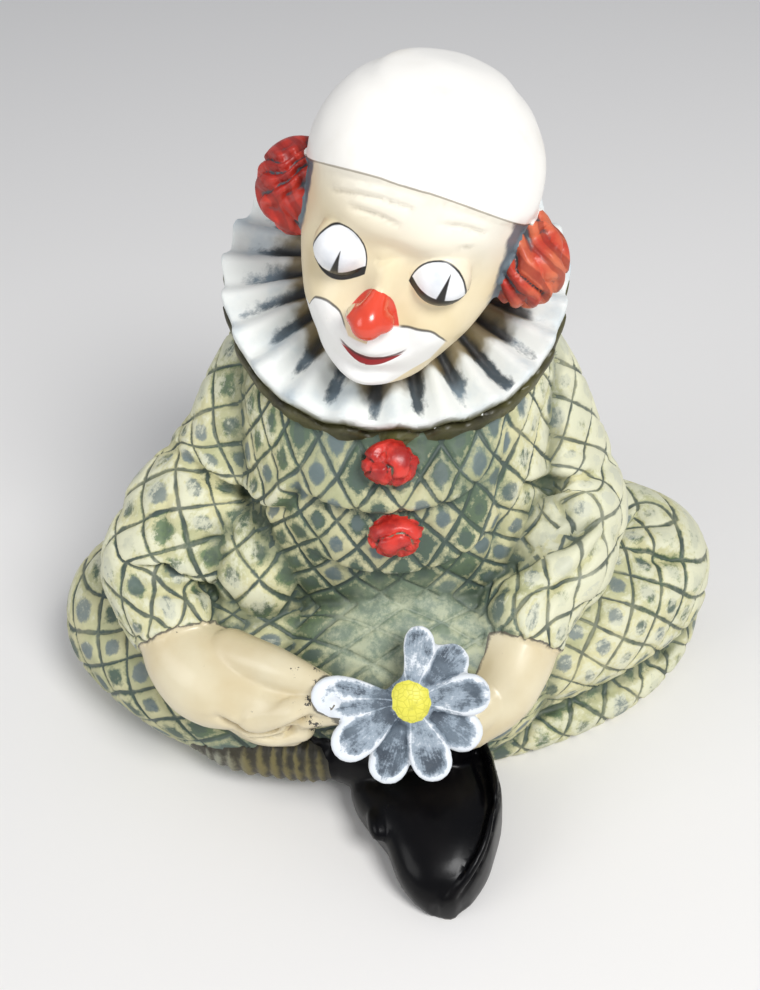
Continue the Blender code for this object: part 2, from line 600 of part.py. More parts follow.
def centre_footprint(figure):
    """Moves the mesh so that the origin lies under the middle of its box."""
    corners = [Vector(corner) for corner in figure.bound_box]
    middle = (corners[0] + corners[6]) / 2
    for vertex in figure.data.vertices:
        vertex.co -= Vector((middle.x, middle.y, 0))


def paint(figure):
    glaze = bpy.data.materials.new("olive_and_ochre_paint")
    glaze.use_nodes = True
    surface = glaze.node_tree.nodes["Principled BSDF"]
    surface.inputs["Base Color"].default_value = (0.45, 0.42, 0.25, 1)
    surface.inputs["Roughness"].default_value = 0.45
    surface.inputs["Metallic"].default_value = 0.0
    figure.data.materials.append(glaze)


def main():
    for old in list(bpy.data.objects):
        bpy.data.objects.remove(old)
    lumps = build_suit() + build_ruff() + build_head() + build_hands()
    lumps += build_flower() + build_buttons() + build_shoe()
    figure = cast(lumps)
    paint(figure)
    figure.data.shade_smooth()
    home = bpy.data.collections.new("seated_clown")
    bpy.context.scene.collection.children.link(home)
    bpy.context.scene.collection.objects.unlink(figure)
    home.objects.link(figure)


main()
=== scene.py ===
# %% [markdown]
# # A seated clown with a daisy
#
# The real ornament is one casting, about 15 cm high: clay was modelled, moulded, cast in resin and then
# painted by hand. This script follows the same order. Lumps of clay are shaped one by one, pressed
# together into a single skin, carved, and only then painted, one coat over another.
#
# The casting could also be built from separate meshes that touch. They would show hard seams where the
# real thing has soft, pressed creases, so the lumps are fused here.

# %% The frame that the part has to fit
import itertools
import math

import bpy
import numpy as np
from mathutils import Matrix, Vector
from mathutils.bvhtree import BVHTree
from mathutils.kdtree import KDTree


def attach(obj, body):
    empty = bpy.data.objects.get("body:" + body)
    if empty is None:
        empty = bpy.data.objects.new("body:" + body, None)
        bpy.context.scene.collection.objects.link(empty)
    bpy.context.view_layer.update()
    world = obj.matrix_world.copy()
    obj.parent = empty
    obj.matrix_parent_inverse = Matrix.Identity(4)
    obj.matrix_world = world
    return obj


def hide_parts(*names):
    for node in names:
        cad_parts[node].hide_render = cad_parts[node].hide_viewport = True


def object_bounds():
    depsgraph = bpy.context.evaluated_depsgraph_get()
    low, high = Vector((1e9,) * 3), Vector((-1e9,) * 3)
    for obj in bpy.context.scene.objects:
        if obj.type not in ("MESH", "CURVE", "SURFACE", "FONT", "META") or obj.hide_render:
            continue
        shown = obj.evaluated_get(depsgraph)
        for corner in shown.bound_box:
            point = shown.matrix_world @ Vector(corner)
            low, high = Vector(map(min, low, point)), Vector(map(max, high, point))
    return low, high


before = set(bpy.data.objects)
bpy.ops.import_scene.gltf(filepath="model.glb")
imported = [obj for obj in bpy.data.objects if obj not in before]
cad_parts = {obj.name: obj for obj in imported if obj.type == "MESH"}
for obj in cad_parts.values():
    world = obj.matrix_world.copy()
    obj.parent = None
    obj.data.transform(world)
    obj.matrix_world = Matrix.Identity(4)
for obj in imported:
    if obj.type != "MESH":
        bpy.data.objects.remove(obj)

cad_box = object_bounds()
MODEL_HEIGHT = 14.72       # height of the clay original, in its own centimetres
CM = (cad_box[1].z - cad_box[0].z) / MODEL_HEIGHT
TURN = 2 * math.pi
print("the frame is", [round(1000 * (b - a)) for a, b in zip(*cad_box)], "mm;",
      "one clay cm is", round(CM, 5), "m")

# %% [markdown]
# ## Lumps of clay
#
# Everything is shaped in clay centimetres: X runs to the clown's left hand, -Y is the front, Z is up. A
# limb is a sweep: rings that follow a curve, with a radius at each point. Metaballs could give such soft
# shapes too, but a sweep knows where along the limb and how far round it each point lies, and the
# lozenges of the suit need exactly that later.

# %% Small tools for curves
def unit(vector):
    vector = np.asarray(vector, float)
    return vector / np.linalg.norm(vector)


def bell(x, centre, width):
    return np.exp(-((x - centre) / width) ** 2)


def ease(x, low, high):
    """0 below low and 1 above high, turning smoothly between them."""
    t = np.clip((x - low) / (high - low), 0, 1)
    return t * t * (3 - 2 * t)


def grain(points, size, seed=0):
    """Smooth noise between -1 and 1 with bumps about size across.

    Large primes scramble each cell's whole-number place into the value at its corner.
    """
    place = np.asarray(points, float) / size + 100
    cell = np.floor(place).astype(np.int64)
    t = place - cell
    t = t * t * (3 - 2 * t)
    total = 0
    for corner in itertools.product((0, 1), repeat=3):
        x, y, z = np.moveaxis(cell + corner, -1, 0)
        key = (x * 73856093) ^ (y * 19349663) ^ (z * 83492791) ^ (seed * 49979693)
        key = ((key >> 11) ^ key) * 1274126177
        value = ((key >> 8) & 0xFFFF) / 0x7FFF - 1
        total = total + value * np.prod(np.where(corner, t, 1 - t), axis=-1)
    return total


def curve_through(points, count):
    """count rows evenly spaced along a smooth curve through rows of x, y, z and further values."""
    p = np.asarray(points, float)
    p = np.vstack([2 * p[0] - p[1], p, 2 * p[-1] - p[-2]])
    t = np.linspace(0, 1, 24, endpoint=False)[:, None]
    rows = []
    for a, b, c, d in zip(p, p[1:], p[2:], p[3:]):
        rows.append(0.5 * (2 * b + (c - a) * t + (2 * a - 5 * b + 4 * c - d) * t ** 2
                           + (3 * b - a - 3 * c + d) * t ** 3))
    rows = np.vstack(rows + [p[-2:-1]])
    reach = np.concatenate([[0], np.cumsum(np.linalg.norm(np.diff(rows[:, :3], axis=0), axis=1))])
    even = np.linspace(0, reach[-1], count)
    return np.stack([np.interp(even, reach, column) for column in rows.T], axis=1)


def table_at(table, keys):
    """A smooth reading of a table whose rows are a rising key and its values."""
    table = np.asarray(table, float)
    key, values = table[:, 0], table[:, 1:]
    slopes = np.gradient(values, key, axis=0)
    i = np.clip(np.searchsorted(key, keys, side="right") - 1, 0, len(key) - 2)
    span = (key[i + 1] - key[i])[:, None]
    t = ((np.asarray(keys) - key[i])[:, None]) / span
    return ((2 * t ** 3 - 3 * t ** 2 + 1) * values[i] + (t ** 3 - 2 * t ** 2 + t) * span * slopes[i]
            + (3 * t ** 2 - 2 * t ** 3) * values[i + 1] + (t ** 3 - t ** 2) * span * slopes[i + 1])


# %% A lump, and the ways to shape one
LUMPS = []


class Lump:
    """A closed mesh with the finish it is painted in, and cloth coordinates at each triangle's corners."""

    def __init__(self, name, finish, points, triangles, cloth=None):
        self.name, self.finish = name, finish
        self.points = np.asarray(points, float).reshape(-1, 3)
        self.points[:, 2] = np.maximum(self.points[:, 2], 0)
        self.triangles = np.asarray(triangles, int)
        self.cloth = np.zeros((len(self.triangles), 3, 2)) if cloth is None else cloth
        LUMPS.append(self)


def skin(name, finish, rings, cells=(1, 1), loop=False):
    """A lump over rings of points. cells says how many lozenges run round it and along it."""
    rings = np.asarray(rings, float)
    count, sides = rings.shape[:2]
    points = rings.reshape(-1, 3)
    triangles, cloth = [], []
    j = np.arange(sides)
    for i in range(count if loop else count - 1):
        here, there = i * sides, ((i + 1) % count) * sides
        quad = np.stack([here + j, here + (j + 1) % sides, there + (j + 1) % sides, there + j], axis=1)
        place = np.stack([np.stack([j + a, np.full(sides, i + b)], axis=1) for a, b in
                          ((0, 0), (1, 0), (1, 1), (0, 1))], axis=1)
        for corners in ([0, 1, 2], [0, 2, 3]):
            triangles.append(quad[:, corners])
            cloth.append(place[:, corners])
    if not loop:
        points = np.vstack([points, rings[0].mean(axis=0), rings[-1].mean(axis=0)])
        for pole, here, i in ((len(points) - 2, 0, 0), (len(points) - 1, (count - 1) * sides, count - 1)):
            triangles.append(np.stack([here + j, here + (j + 1) % sides, np.full(sides, pole)], axis=1))
            place = [np.stack([j + a, np.full(sides, i)], axis=1) for a in (0, 1, 0.5)]
            cloth.append(np.stack(place, axis=1))
    cloth = np.concatenate(cloth) * [cells[0] / sides, cells[1] / max(count - 1, 1)]
    return Lump(name, finish, points, np.concatenate(triangles), cloth)


def sweep(points, sides, rings, relief=None, start=(0, 0, 1), squash=1.0, domes=(1.0, 1.0)):
    """Rings around a curve through rows of x, y, z and radius, with domed ends.

    relief(s, a) is the share added to the radius at s along the curve and angle a round it.
    squash flattens the section across the start direction.
    """
    path = curve_through(points, rings)
    centre, radius = path[:, :3], path[:, 3]
    along = np.gradient(centre, axis=0)
    along /= np.linalg.norm(along, axis=1)[:, None]
    up = np.asarray(start, float)
    angle = np.linspace(0, TURN, sides, endpoint=False)
    steps = np.linspace(0.2, 0.8, 3) * math.pi / 2
    made = []
    for k in range(rings):
        up = unit(up - along[k] * (up @ along[k]))
        side = np.cross(along[k], up)
        s = np.full(sides, k / (rings - 1))
        swell = 1 + (relief(s, angle) if relief else 0 * angle)
        ring = (radius[k] * swell)[:, None] * (np.cos(angle)[:, None] * up * squash
                                               + np.sin(angle)[:, None] * side)
        if k == 0:
            made += [centre[k] - along[k] * radius[k] * domes[0] * math.sin(e) + ring * math.cos(e)
                     for e in steps[::-1]]
        made.append(centre[k] + ring)
        if k == rings - 1:
            made += [centre[k] + along[k] * radius[k] * domes[1] * math.sin(e) + ring * math.cos(e)
                     for e in steps]
    return np.array(made)


def ball(name, finish, centre, radii, turn=None, sides=32, cells=(1, 1)):
    """An ellipsoid, turned by a rotation matrix."""
    height = np.sin(np.linspace(-0.97, 0.97, sides) * math.pi / 2)
    a, h = np.meshgrid(np.linspace(0, TURN, sides, endpoint=False), height)
    out = np.sqrt(1 - h ** 2)
    points = np.stack([out * np.cos(a), out * np.sin(a), h], axis=-1) * np.asarray(radii, float)
    if turn is not None:
        points = points @ np.asarray(turn).T
    return skin(name, finish, points + np.asarray(centre, float), cells)


# %% [markdown]
# ## The suit
#
# The clown sits cross-legged in a baggy one-piece suit. Its body is a stack of oval rings, and each sleeve
# and each folded leg is one sweep, from the shoulder to the cuff and from the hip over the knee to the
# ankle. Folds are part of a sweep's radius: a sharp dip where the cloth is pinched, then a puff.

# %% Body, sleeves and legs
TORSO = [  # height, middle x, middle y, half width, half depth
    (-0.3, 0.0, 1.0, 4.5, 3.4),
    (1.5, 0.0, 1.0, 4.9, 3.6),
    (3.0, 0.0, 0.9, 4.6, 3.7),
    (4.5, 0.0, 0.6, 4.0, 3.75),
    (6.0, 0.0, 0.3, 3.5, 3.65),
    (7.5, 0.0, 0.1, 3.3, 3.3),
    (8.7, 0.1, 0.1, 3.0, 2.4),
    (9.3, 0.15, 0.1, 2.2, 1.7),
    (9.7, 0.2, 0.1, 1.3, 1.0),
]
SHOULDER_TO_CUFF = {
    "right": [(-1.95, 0.4, 8.2, 1.40), (-2.7, 0.2, 7.1, 1.40), (-3.4, -0.1, 5.9, 1.40),
              (-4.5, -0.9, 4.8, 1.50), (-5.05, -1.6, 4.0, 1.40), (-4.95, -2.3, 3.75, 1.10),
              (-4.75, -2.7, 3.60, 0.97), (-4.68, -2.95, 3.48, 0.94)],
    "left": [(2.2, 0.4, 8.1, 1.35), (2.75, 0.2, 7.0, 1.35), (3.2, -0.1, 5.8, 1.30),
             (3.5, -0.8, 4.8, 1.42), (3.3, -1.9, 4.3, 1.22), (2.8, -2.7, 3.95, 1.00),
             (2.5, -3.1, 3.80, 1.0), (2.32, -3.45, 3.52, 0.96)],
}
HIP_TO_ANKLE = {
    "right": [(-2.4, 1.6, 2.0, 2.0), (-4.2, 0.8, 1.95, 1.95), (-6.1, -0.1, 1.8, 1.75),
              (-5.1, -1.8, 1.6, 1.60), (-3.8, -2.8, 1.45, 1.40), (-2.4, -3.2, 1.35, 1.20)],
    "left": [(2.6, 1.6, 2.0, 2.0), (4.2, 0.9, 2.0, 1.95), (5.6, 0.2, 1.90, 1.78),
             (4.4, -1.25, 1.95, 1.60), (3.0, -2.1, 1.90, 1.42), (1.6, -2.7, 1.70, 1.20)],
}
CHEST_BULGES = [(7.45, 0.10), (5.95, 0.12)]   # height at the middle, and how it rises sideways
BULGE_DEPTH, BULGE_HEIGHT = 0.16, 0.42
SLEEVE_FOLDS = [(0.42, 0.06), (0.62, 0.05), (0.80, 0.05)]   # where a fold cuts in, and how deep
LEFT_HEM = [(1.3, -3.75, 0.40, 0.40), (3.0, -3.25, 0.45, 0.50), (4.9, -2.3, 0.50, 0.55),
            (6.2, -1.15, 0.60, 0.48), (6.9, -0.1, 0.90, 0.32)]
NECK = [(0.15, 0.2, 9.0, 1.3), (0.3, -0.2, 10.4, 1.15), (0.5, -0.7, 11.4, 1.2)]


def torso_rings(rings, sides):
    height = np.linspace(TORSO[0][0], TORSO[-1][0], rings)
    x, y, wide, deep = table_at(TORSO, height).T
    a, z = np.meshgrid(np.linspace(0, TURN, sides, endpoint=False), height)
    across = wide[:, None] * (1 + 0.02 * np.cos(3 * a)) * np.cos(a)
    front = ease(-np.sin(a), 0.0, 0.6)
    sag = 0
    for bulge, rise in CHEST_BULGES:
        sag = sag + BULGE_DEPTH * bell(z - rise * across ** 2, bulge, BULGE_HEIGHT)
    back = ease(np.sin(a), 0.2, 0.9)
    sag = sag * front + 0.06 * back * np.sin(2.2 * z + 1.5 * np.abs(across))
    return np.stack([x[:, None] + across, y[:, None] + (deep[:, None] + sag) * np.sin(a), z], axis=-1)


def sleeve_relief(s, a):
    """Puffs between folds that lean round the arm."""
    made = 0.025 * np.sin(5 * a + 9 * s)
    for place, depth in SLEEVE_FOLDS:
        lean = place + 0.045 * np.sin(a + 1)
        made = made - depth * bell(s, lean, 0.022) + 0.6 * depth * bell(s, lean - 0.07, 0.06)
    return made


def leg_relief(s, a):
    return 0.025 * np.sin(3 * a + 7 * s) + 0.015 * np.sin(7 * a - 9 * s)


SIDEWAYS = np.array([[0, 0, 1], [0, 1, 0], [-1, 0, 0]])     # sets a ball's poles to the left and right
skin("torso", "suit", torso_rings(120, 144), cells=(26, 10))
for side in ("right", "left"):
    sleeve = sweep(SHOULDER_TO_CUFF[side], 72, 120, sleeve_relief, domes=(0.6, 0.15))
    skin("sleeve", "suit", sleeve, cells=(8, 7))
    skin("leg", "suit", sweep(HIP_TO_ANKLE[side], 72, 120, leg_relief, squash=0.95), cells=(9, 11))
ball("lap", "suit", (0.0, -2.9, 2.0), (2.5, 1.9, 3.2), SIDEWAYS, cells=(16, 7))
ball("lap_side", "suit", (-2.8, -2.6, 2.9), (1.1, 1.1, 1.3), SIDEWAYS, cells=(8, 3))
ball("cuff_side", "suit", (-3.55, -2.5, 3.55), (0.6, 0.6, 0.7), SIDEWAYS, cells=(5, 2))
skin("neck", "ruff", sweep(NECK, 32, 20))
for side in (-1, 1):
    ball("sleeve_lining", "suit", (side * 2.9, -1.3, 4.2), (1.3, 1.6, 1.7), cells=(6, 4))
skin("left_hem", "suit", sweep(LEFT_HEM, 20, 60), cells=(2, 8))
print("suit:", len(LUMPS), "lumps")

# %% [markdown]
# ## Working with node trees
#
# The pleats of the ruff and the petals of the daisy repeat, so Geometry Nodes grow them. A tree is easier to
# read as an expression than as a list of links. Wire wraps one socket and turns + - * / into Math nodes, and
# Graph.add makes any other node from its type, its settings and the values of its sockets. The same two
# classes write the paints later.

# %% Wire and Graph
class Wire:
    """One output socket, with arithmetic that adds Math nodes."""

    def __init__(self, graph, socket):
        self.graph, self.socket = graph, socket

    def maths(self, operation, *values):
        return self.graph.add("ShaderNodeMath", {"operation": operation}, dict(enumerate((self, *values))))

    def __add__(self, other):
        return self.maths("ADD", other)

    def __sub__(self, other):
        return self.maths("SUBTRACT", other)

    def __mul__(self, other):
        return self.maths("MULTIPLY", other)

    def __truediv__(self, other):
        return self.maths("DIVIDE", other)

    def __pow__(self, other):
        return self.maths("POWER", other)

    def __radd__(self, other):
        return self + other

    def __rmul__(self, other):
        return self * other

    def __rsub__(self, other):
        return self.graph.number(other) - self

    def __abs__(self):
        return self.maths("ABSOLUTE")

    def at_least(self, other):
        return self.maths("MAXIMUM", other)

    def at_most(self, other):
        return self.maths("MINIMUM", other)

    def above(self, other):
        """1 where the value is greater, and 0 elsewhere."""
        return self.maths("GREATER_THAN", other)

    def sin(self):
        return self.maths("SINE")

    def cos(self):
        return self.maths("COSINE")

    def clamp(self):
        return self.at_least(0).at_most(1)

    def rise(self, low, high):
        """0 below low and 1 above high, with a smooth step between them."""
        return self.graph.add("ShaderNodeMapRange", {"interpolation_type": "SMOOTHSTEP"},
                              {"Value": self, "From Min": low, "From Max": high})

    def line_gap(self):
        """How far the value is from the nearest whole number."""
        return abs((self + 0.5).maths("FRACT") - 0.5)


class Graph:
    """A node tree that is written as expressions."""

    def __init__(self, tree):
        self.tree = tree

    def add(self, kind, settings=None, values=None, output=0):
        node = self.tree.nodes.new(kind)
        for name, value in (settings or {}).items():
            setattr(node, name, value)
        for name, value in (values or {}).items():
            self.feed(node.inputs[name], value)
        return Wire(self, node.outputs[output])

    def feed(self, socket, value):
        """Links a Wire to the socket, or sets it to a plain value."""
        if isinstance(value, Wire):
            self.tree.links.new(value.socket, socket)
        else:
            socket.default_value = value

    def number(self, value):
        return self.add("ShaderNodeMath", {"operation": "ADD"}, {0: value, 1: 0.0})

    def parts(self, vector):
        first = self.add("ShaderNodeSeparateXYZ", None, {0: vector})
        return [Wire(self, socket) for socket in first.socket.node.outputs]

    def vector(self, x, y, z):
        return self.add("ShaderNodeCombineXYZ", None, {0: x, 1: y, 2: z})


# %% Growing clay with Geometry Nodes
FINISHES = {name: bpy.data.materials.new(name) for name in (
    "suit", "ruff", "collar", "face", "lids", "cap", "nose", "hair", "hands", "petals", "flower_eye",
    "buttons", "shoe", "hem", "base")}


def new_growth(name, **inputs):
    """A Geometry Nodes tree with these named inputs; returns it and a Wire for each input."""
    tree = bpy.data.node_groups.new(name, "GeometryNodeTree")
    for label, value in inputs.items():
        kind = "NodeSocketInt" if isinstance(value, int) else "NodeSocketFloat"
        tree.interface.new_socket(label, in_out="INPUT", socket_type=kind)
    tree.interface.new_socket("Geometry", in_out="OUTPUT", socket_type="NodeSocketGeometry")
    graph = Graph(tree)
    entry = tree.nodes.new("NodeGroupInput")
    graph.inputs = inputs
    return graph, [Wire(graph, entry.outputs[label]) for label in inputs]


def finish_growth(graph, geometry, finish):
    """Ends the tree in Realize Instances and Set Material, and returns the grown points and triangles."""
    real = graph.add("GeometryNodeRealizeInstances", None, {"Geometry": geometry})
    dressed = graph.add("GeometryNodeSetMaterial", None, {"Geometry": real, "Material": FINISHES[finish]})
    end = graph.tree.nodes.new("NodeGroupOutput")
    graph.tree.links.new(dressed.socket, end.inputs[0])
    bed = bpy.data.objects.new(graph.tree.name, bpy.data.meshes.new(graph.tree.name))
    bpy.context.scene.collection.objects.link(bed)
    modifier = bed.modifiers.new("growth", "NODES")
    modifier.node_group = graph.tree
    for item in graph.tree.interface.items_tree:
        if item.in_out == "INPUT":
            modifier[item.identifier] = graph.inputs[item.name]
    points, triangles = mesh_arrays(bed)
    bpy.data.objects.remove(bed)
    return points, triangles


def mesh_arrays(item):
    """Points and triangles of an object as its modifiers leave it."""
    evaluated = item.evaluated_get(bpy.context.evaluated_depsgraph_get())
    mesh = bpy.data.meshes.new_from_object(evaluated)
    mesh.calc_loop_triangles()
    points = np.zeros(len(mesh.vertices) * 3)
    triangles = np.zeros(len(mesh.loop_triangles) * 3, int)
    mesh.vertices.foreach_get("co", points)
    mesh.loop_triangles.foreach_get("vertices", triangles)
    bpy.data.meshes.remove(mesh)
    return points.reshape(-1, 3), triangles.reshape(-1, 3)


# %% [markdown]
# ## The ruff
#
# The collar is a ring of soft pleats that dips towards the front. Its shape is a rule, so a Mesh Grid is
# rolled into a ring by Set Position: one way of the grid runs round the neck, and the other runs out over
# the top, round the thick rim and back underneath. The pleats are a cosine that wanders a little, because
# they were pressed in by hand.

# %% Ruff
RUFF_MIDDLE = np.array([0.15, 0.1, 10.1])
RUFF_TILT = math.radians(24)
RUFF_NECK, RUFF_RADIUS = 1.0, 3.42
RUFF_PLEATS = 23
PLEAT_WANDER = 0.7
RUFF_WALL = 0.44
COLLAR_DROP, COLLAR_RADIUS = 0.48, 3.45


def grow_ruff(name, radius, drop):
    graph, (neck, radius, pleats, wall, drop) = new_growth(
        name, neck=RUFF_NECK, radius=radius, pleats=RUFF_PLEATS, wall=RUFF_WALL, drop=drop)
    grid = graph.add("GeometryNodeMeshGrid", None, {"Vertices X": 24 * RUFF_PLEATS + 1, "Vertices Y": 46})
    x, y, _ = graph.parts(graph.add("GeometryNodeInputPosition"))
    angle = (x + 0.5) * TURN
    out = 1 - abs(y * 2)
    under = y.above(0.0)
    wave = (angle * pleats + (angle * 2 + 1).sin() * PLEAT_WANDER).cos()
    reach = neck + (radius - neck) * out + wave * out * 0.035 + (angle * 5).sin() * 0.03 * out
    high = 0.30 - out ** 2 * 0.55 + out ** 4 * 0.35 + wave * (0.04 + out * 0.14 - out ** 4 * 0.06)
    deep = (wall - out * 0.12) * (out * 8).clamp()
    place = graph.vector(reach * angle.cos(), reach * angle.sin(), high - under * deep - drop)
    rolled = graph.add("GeometryNodeSetPosition", None, {"Geometry": grid, "Position": place})
    welded = graph.add("GeometryNodeMergeByDistance", None, {"Geometry": rolled, "Distance": 0.002})
    tilted = graph.add("GeometryNodeTransform", None, {
        "Geometry": welded, "Translation": RUFF_MIDDLE.tolist(), "Rotation": (RUFF_TILT, 0, 0)})
    return finish_growth(graph, tilted, name)


Lump("ruff", "ruff", *grow_ruff("ruff", RUFF_RADIUS, 0.0))
Lump("collar", "collar", *grow_ruff("collar", COLLAR_RADIUS, COLLAR_DROP))
print("ruff:", len(LUMPS[-1].triangles), "triangles")

# %% [markdown]
# ## The head
#
# The head is turned, and its crown leans towards the clown's left shoulder. It is modelled upright in its
# own coordinates, looking along -Y, and then placed by one rotation. The face is a doll's: closed lids as
# two half-buried balls, a blunt nose, and soft cheeks. The bald cap is a thin second skin whose edge makes
# a small step on the forehead.

# %% Head, cap, lids and nose
HEAD_MIDDLE = np.array([0.62, -1.10, 12.55])
HEAD_TURNS = [math.radians(degrees) for degrees in (-16, -2, 14)]   # yaw, pitch and roll
HEAD = [  # height, half width, front, back
    (-3.05, 0.30, -1.75, -0.95),
    (-2.90, 0.75, -1.95, -0.40),
    (-2.50, 1.20, -2.06, 0.40),
    (-2.00, 1.55, -2.06, 1.00),
    (-1.30, 1.84, -2.00, 1.60),
    (-0.65, 1.95, -1.97, 2.00),
    (0.00, 1.98, -2.02, 2.18),
    (0.60, 1.98, -2.02, 2.18),
    (1.20, 1.76, -1.78, 1.92),
    (1.70, 1.26, -1.26, 1.42),
    (2.00, 0.62, -0.60, 0.76),
    (2.08, 0.10, -0.02, 0.18),
]
CAP_WALL = 0.07
CAP_EDGE = (0.9, -1.3, 0.35)   # its height at the brow, and how it falls towards the back
HEAD_DEEP = (0.08, 2.03)       # middle and half depth of the head at the cap's edge
LID_MIDDLE, LID_RADII = (0.87, -1.60, -0.66), (0.51, 0.48, 0.50)
EYES = [  # middle x and z, half width and height, foot, lash, how the foot tilts, and the spike's x
    (-0.85, -0.68, 0.48, 0.51, -1.22, -0.99, 0.12, -0.86),
    (0.875, -0.71, 0.48, 0.475, -1.05, -0.84, -0.07, 0.99),
]
NOSE = [(-0.02, -2.16, -1.16, 0.20), (-0.05, -2.36, -1.36, 0.29), (-0.05, -2.46, -1.46, 0.29)]
NOSTRIL, NOSTRIL_RADII = (0.20, -2.28, -1.44), (0.23, 0.28, 0.19)
RED_TOP = (-0.02, -0.95)       # x and z of the tip of the nose's red, up between the eyes
RED_HALF, RED_TALL = 0.42, 0.6


def head_frame():
    yaw, pitch, roll = HEAD_TURNS
    made = Matrix.Rotation(yaw, 3, "Z") @ Matrix.Rotation(roll, 3, "Y") @ Matrix.Rotation(pitch, 3, "X")
    return np.array(made)


def on_head(points):
    return np.asarray(points, float) @ head_frame().T + HEAD_MIDDLE


def in_head(points):
    return (np.asarray(points, float) - HEAD_MIDDLE) @ head_frame()


def cap_edge(behind):
    """The height of the cap's edge, from 0 at the brow to 2 at the nape. Takes numbers or a Wire."""
    return CAP_EDGE[0] + CAP_EDGE[1] * behind + CAP_EDGE[2] * behind ** 2


def smile(x):
    """The height of the mouth line, which rises to the clown's left. Takes numbers or a Wire."""
    return -2.265 + 0.03 * x + 0.6 * x * x


def face_relief(x, z):
    """How far the face stands forward of the plain head: brow, cheeks, muzzle and chin."""
    made = 0.12 * bell(z, 0.0, 0.28) * bell(np.abs(x), 0.75, 0.65)
    made = made - 0.14 * bell(z, -0.30, 0.22) * bell(x, 0, 0.30)
    for side in (-1, 1):
        made = made - 0.18 * bell(x, side * 0.86, 0.75) * bell(z, -0.66, 0.58)
        made = made + 0.18 * bell(x, side * 1.10, 0.5) * bell(z, -1.70, 0.42)
        made = made - 0.07 * bell(x, side * (0.55 - 0.35 * (z + 1.5)), 0.10) * bell(z, -1.75, 0.35)
    made = made + 0.24 * bell(x, 0, 0.26) * bell(z, -0.85, 0.6)
    made = made + 0.24 * bell(x, 0, 0.75) * bell(z, -2.05, 0.42)
    made = made - 0.12 * bell(z, smile(x), 0.06) * bell(x, 0, 0.75)
    made = made + 0.07 * bell(z, smile(x) - 0.12, 0.08) * bell(x, 0.1, 0.35)
    made = made - 0.08 * bell(z, -2.60, 0.12) * bell(x, 0, 0.5)
    return made + 0.16 * bell(x, 0, 0.5) * bell(z, -2.88, 0.24)


def head_points(height, angle, wall=0.0):
    """Points on the plain head at these heights and angles; the face is at -90 degrees."""
    half, front, back = np.moveaxis(
        table_at(HEAD, height.ravel()).reshape(height.shape + (3,)), -1, 0)
    x = (half + wall) * np.cos(angle)
    y = (front + back) / 2 + ((back - front) / 2 + wall) * np.sin(angle)
    return np.stack([x, y, height], axis=-1)


def head_rings(rings, sides):
    low, high = HEAD[0][0], HEAD[-1][0]
    height = low + (high - low) * (0.5 - 0.5 * np.cos(np.linspace(0, math.pi, rings)))
    a, z = np.meshgrid(np.linspace(0, TURN, sides, endpoint=False), height)
    points = head_points(z, a)
    points[..., 1] -= face_relief(points[..., 0], z) * ease(-np.sin(a), 0.15, 0.6)
    return on_head(points)


def cap_rings(rings, sides):
    """The bald cap: a skin over the crown that ends in a small step, closed inside the head."""
    angle = np.linspace(0, TURN, sides, endpoint=False)
    top = HEAD[-1][0] - 0.002
    edge = cap_edge(1 + np.sin(angle))
    t = np.sin(np.linspace(0, 1, rings) * math.pi / 2)[:, None]
    height = top + (edge - top) * (1 - np.cos(t * math.pi / 2))
    outer = head_points(height, np.broadcast_to(angle, height.shape), CAP_WALL)
    outer[..., 2] += CAP_WALL * np.clip(1 - (top - height), 0, 1)
    tuck = head_points(height[-1:], angle[None, :], -0.3)
    return on_head(np.concatenate([outer, tuck]))


skin("face", "face", head_rings(110, 140))
skin("cap", "cap", cap_rings(60, 120))
bridge = np.column_stack([on_head([row[:3] for row in NOSE]), [row[3] for row in NOSE]])
skin("nose", "nose", sweep(bridge, 32, 16))
for side in (-1, 1):
    x, y, z = NOSTRIL
    ball("nostril", "nose", on_head([side * x - 0.05, y, z]), NOSTRIL_RADII, head_frame())
    x, y, z = LID_MIDDLE
    ball("lid", "lids", on_head([side * x, y, z]), LID_RADII, head_frame())
print("with the head:", len(LUMPS), "lumps")

# %% [markdown]
# ## Hair and buttons
#
# The tufts over the ears are rough balls of clay with furrows combed through them, and the two pompom
# buttons are small balls with furrows that wind. Here they are plain balls, and the furrows are cut once
# all the clay is one skin, where the dark paint can find them. Thin ropes of clay laid side by side would
# be the other way, but at this size they look like loose loops.

# %% Hair and buttons
TUFTS = [  # middle on the head, and radii
    ((-2.14, 0.0, -0.68), (0.72, 0.80, 0.82)),
    ((-1.96, 0.05, -1.12), (0.50, 0.58, 0.52)),
    ((-1.88, 0.10, -0.22), (0.46, 0.58, 0.42)),
    ((2.18, 0.0, -0.82), (0.70, 0.78, 0.78)),
    ((1.98, 0.10, -0.34), (0.48, 0.58, 0.44)),
]
for middle, radii in TUFTS:
    ball("tuft", "hair", on_head(middle), radii, head_frame(), sides=96)
NAPE = [(-2.0, 0.4, -0.6), (-1.4, 1.5, -0.8), (0, 2.0, -0.9), (1.4, 1.5, -0.8), (2.0, 0.4, -0.6)]
NAPE_LOCK_RADII = (0.52, 0.52, 0.60)
for place in curve_through(on_head(NAPE), 7)[1:-1]:
    ball("nape_lock", "hair", place, NAPE_LOCK_RADII, head_frame(), sides=48)
BUTTONS, BUTTON_RADII = [(-0.13, -3.15, 8.05), (-0.10, -3.45, 6.55)], (0.52, 0.40, 0.41)
for place in BUTTONS:
    ball("button", "buttons", place, BUTTON_RADII, sides=64)
print("hair and buttons set;", len(LUMPS), "lumps so far")

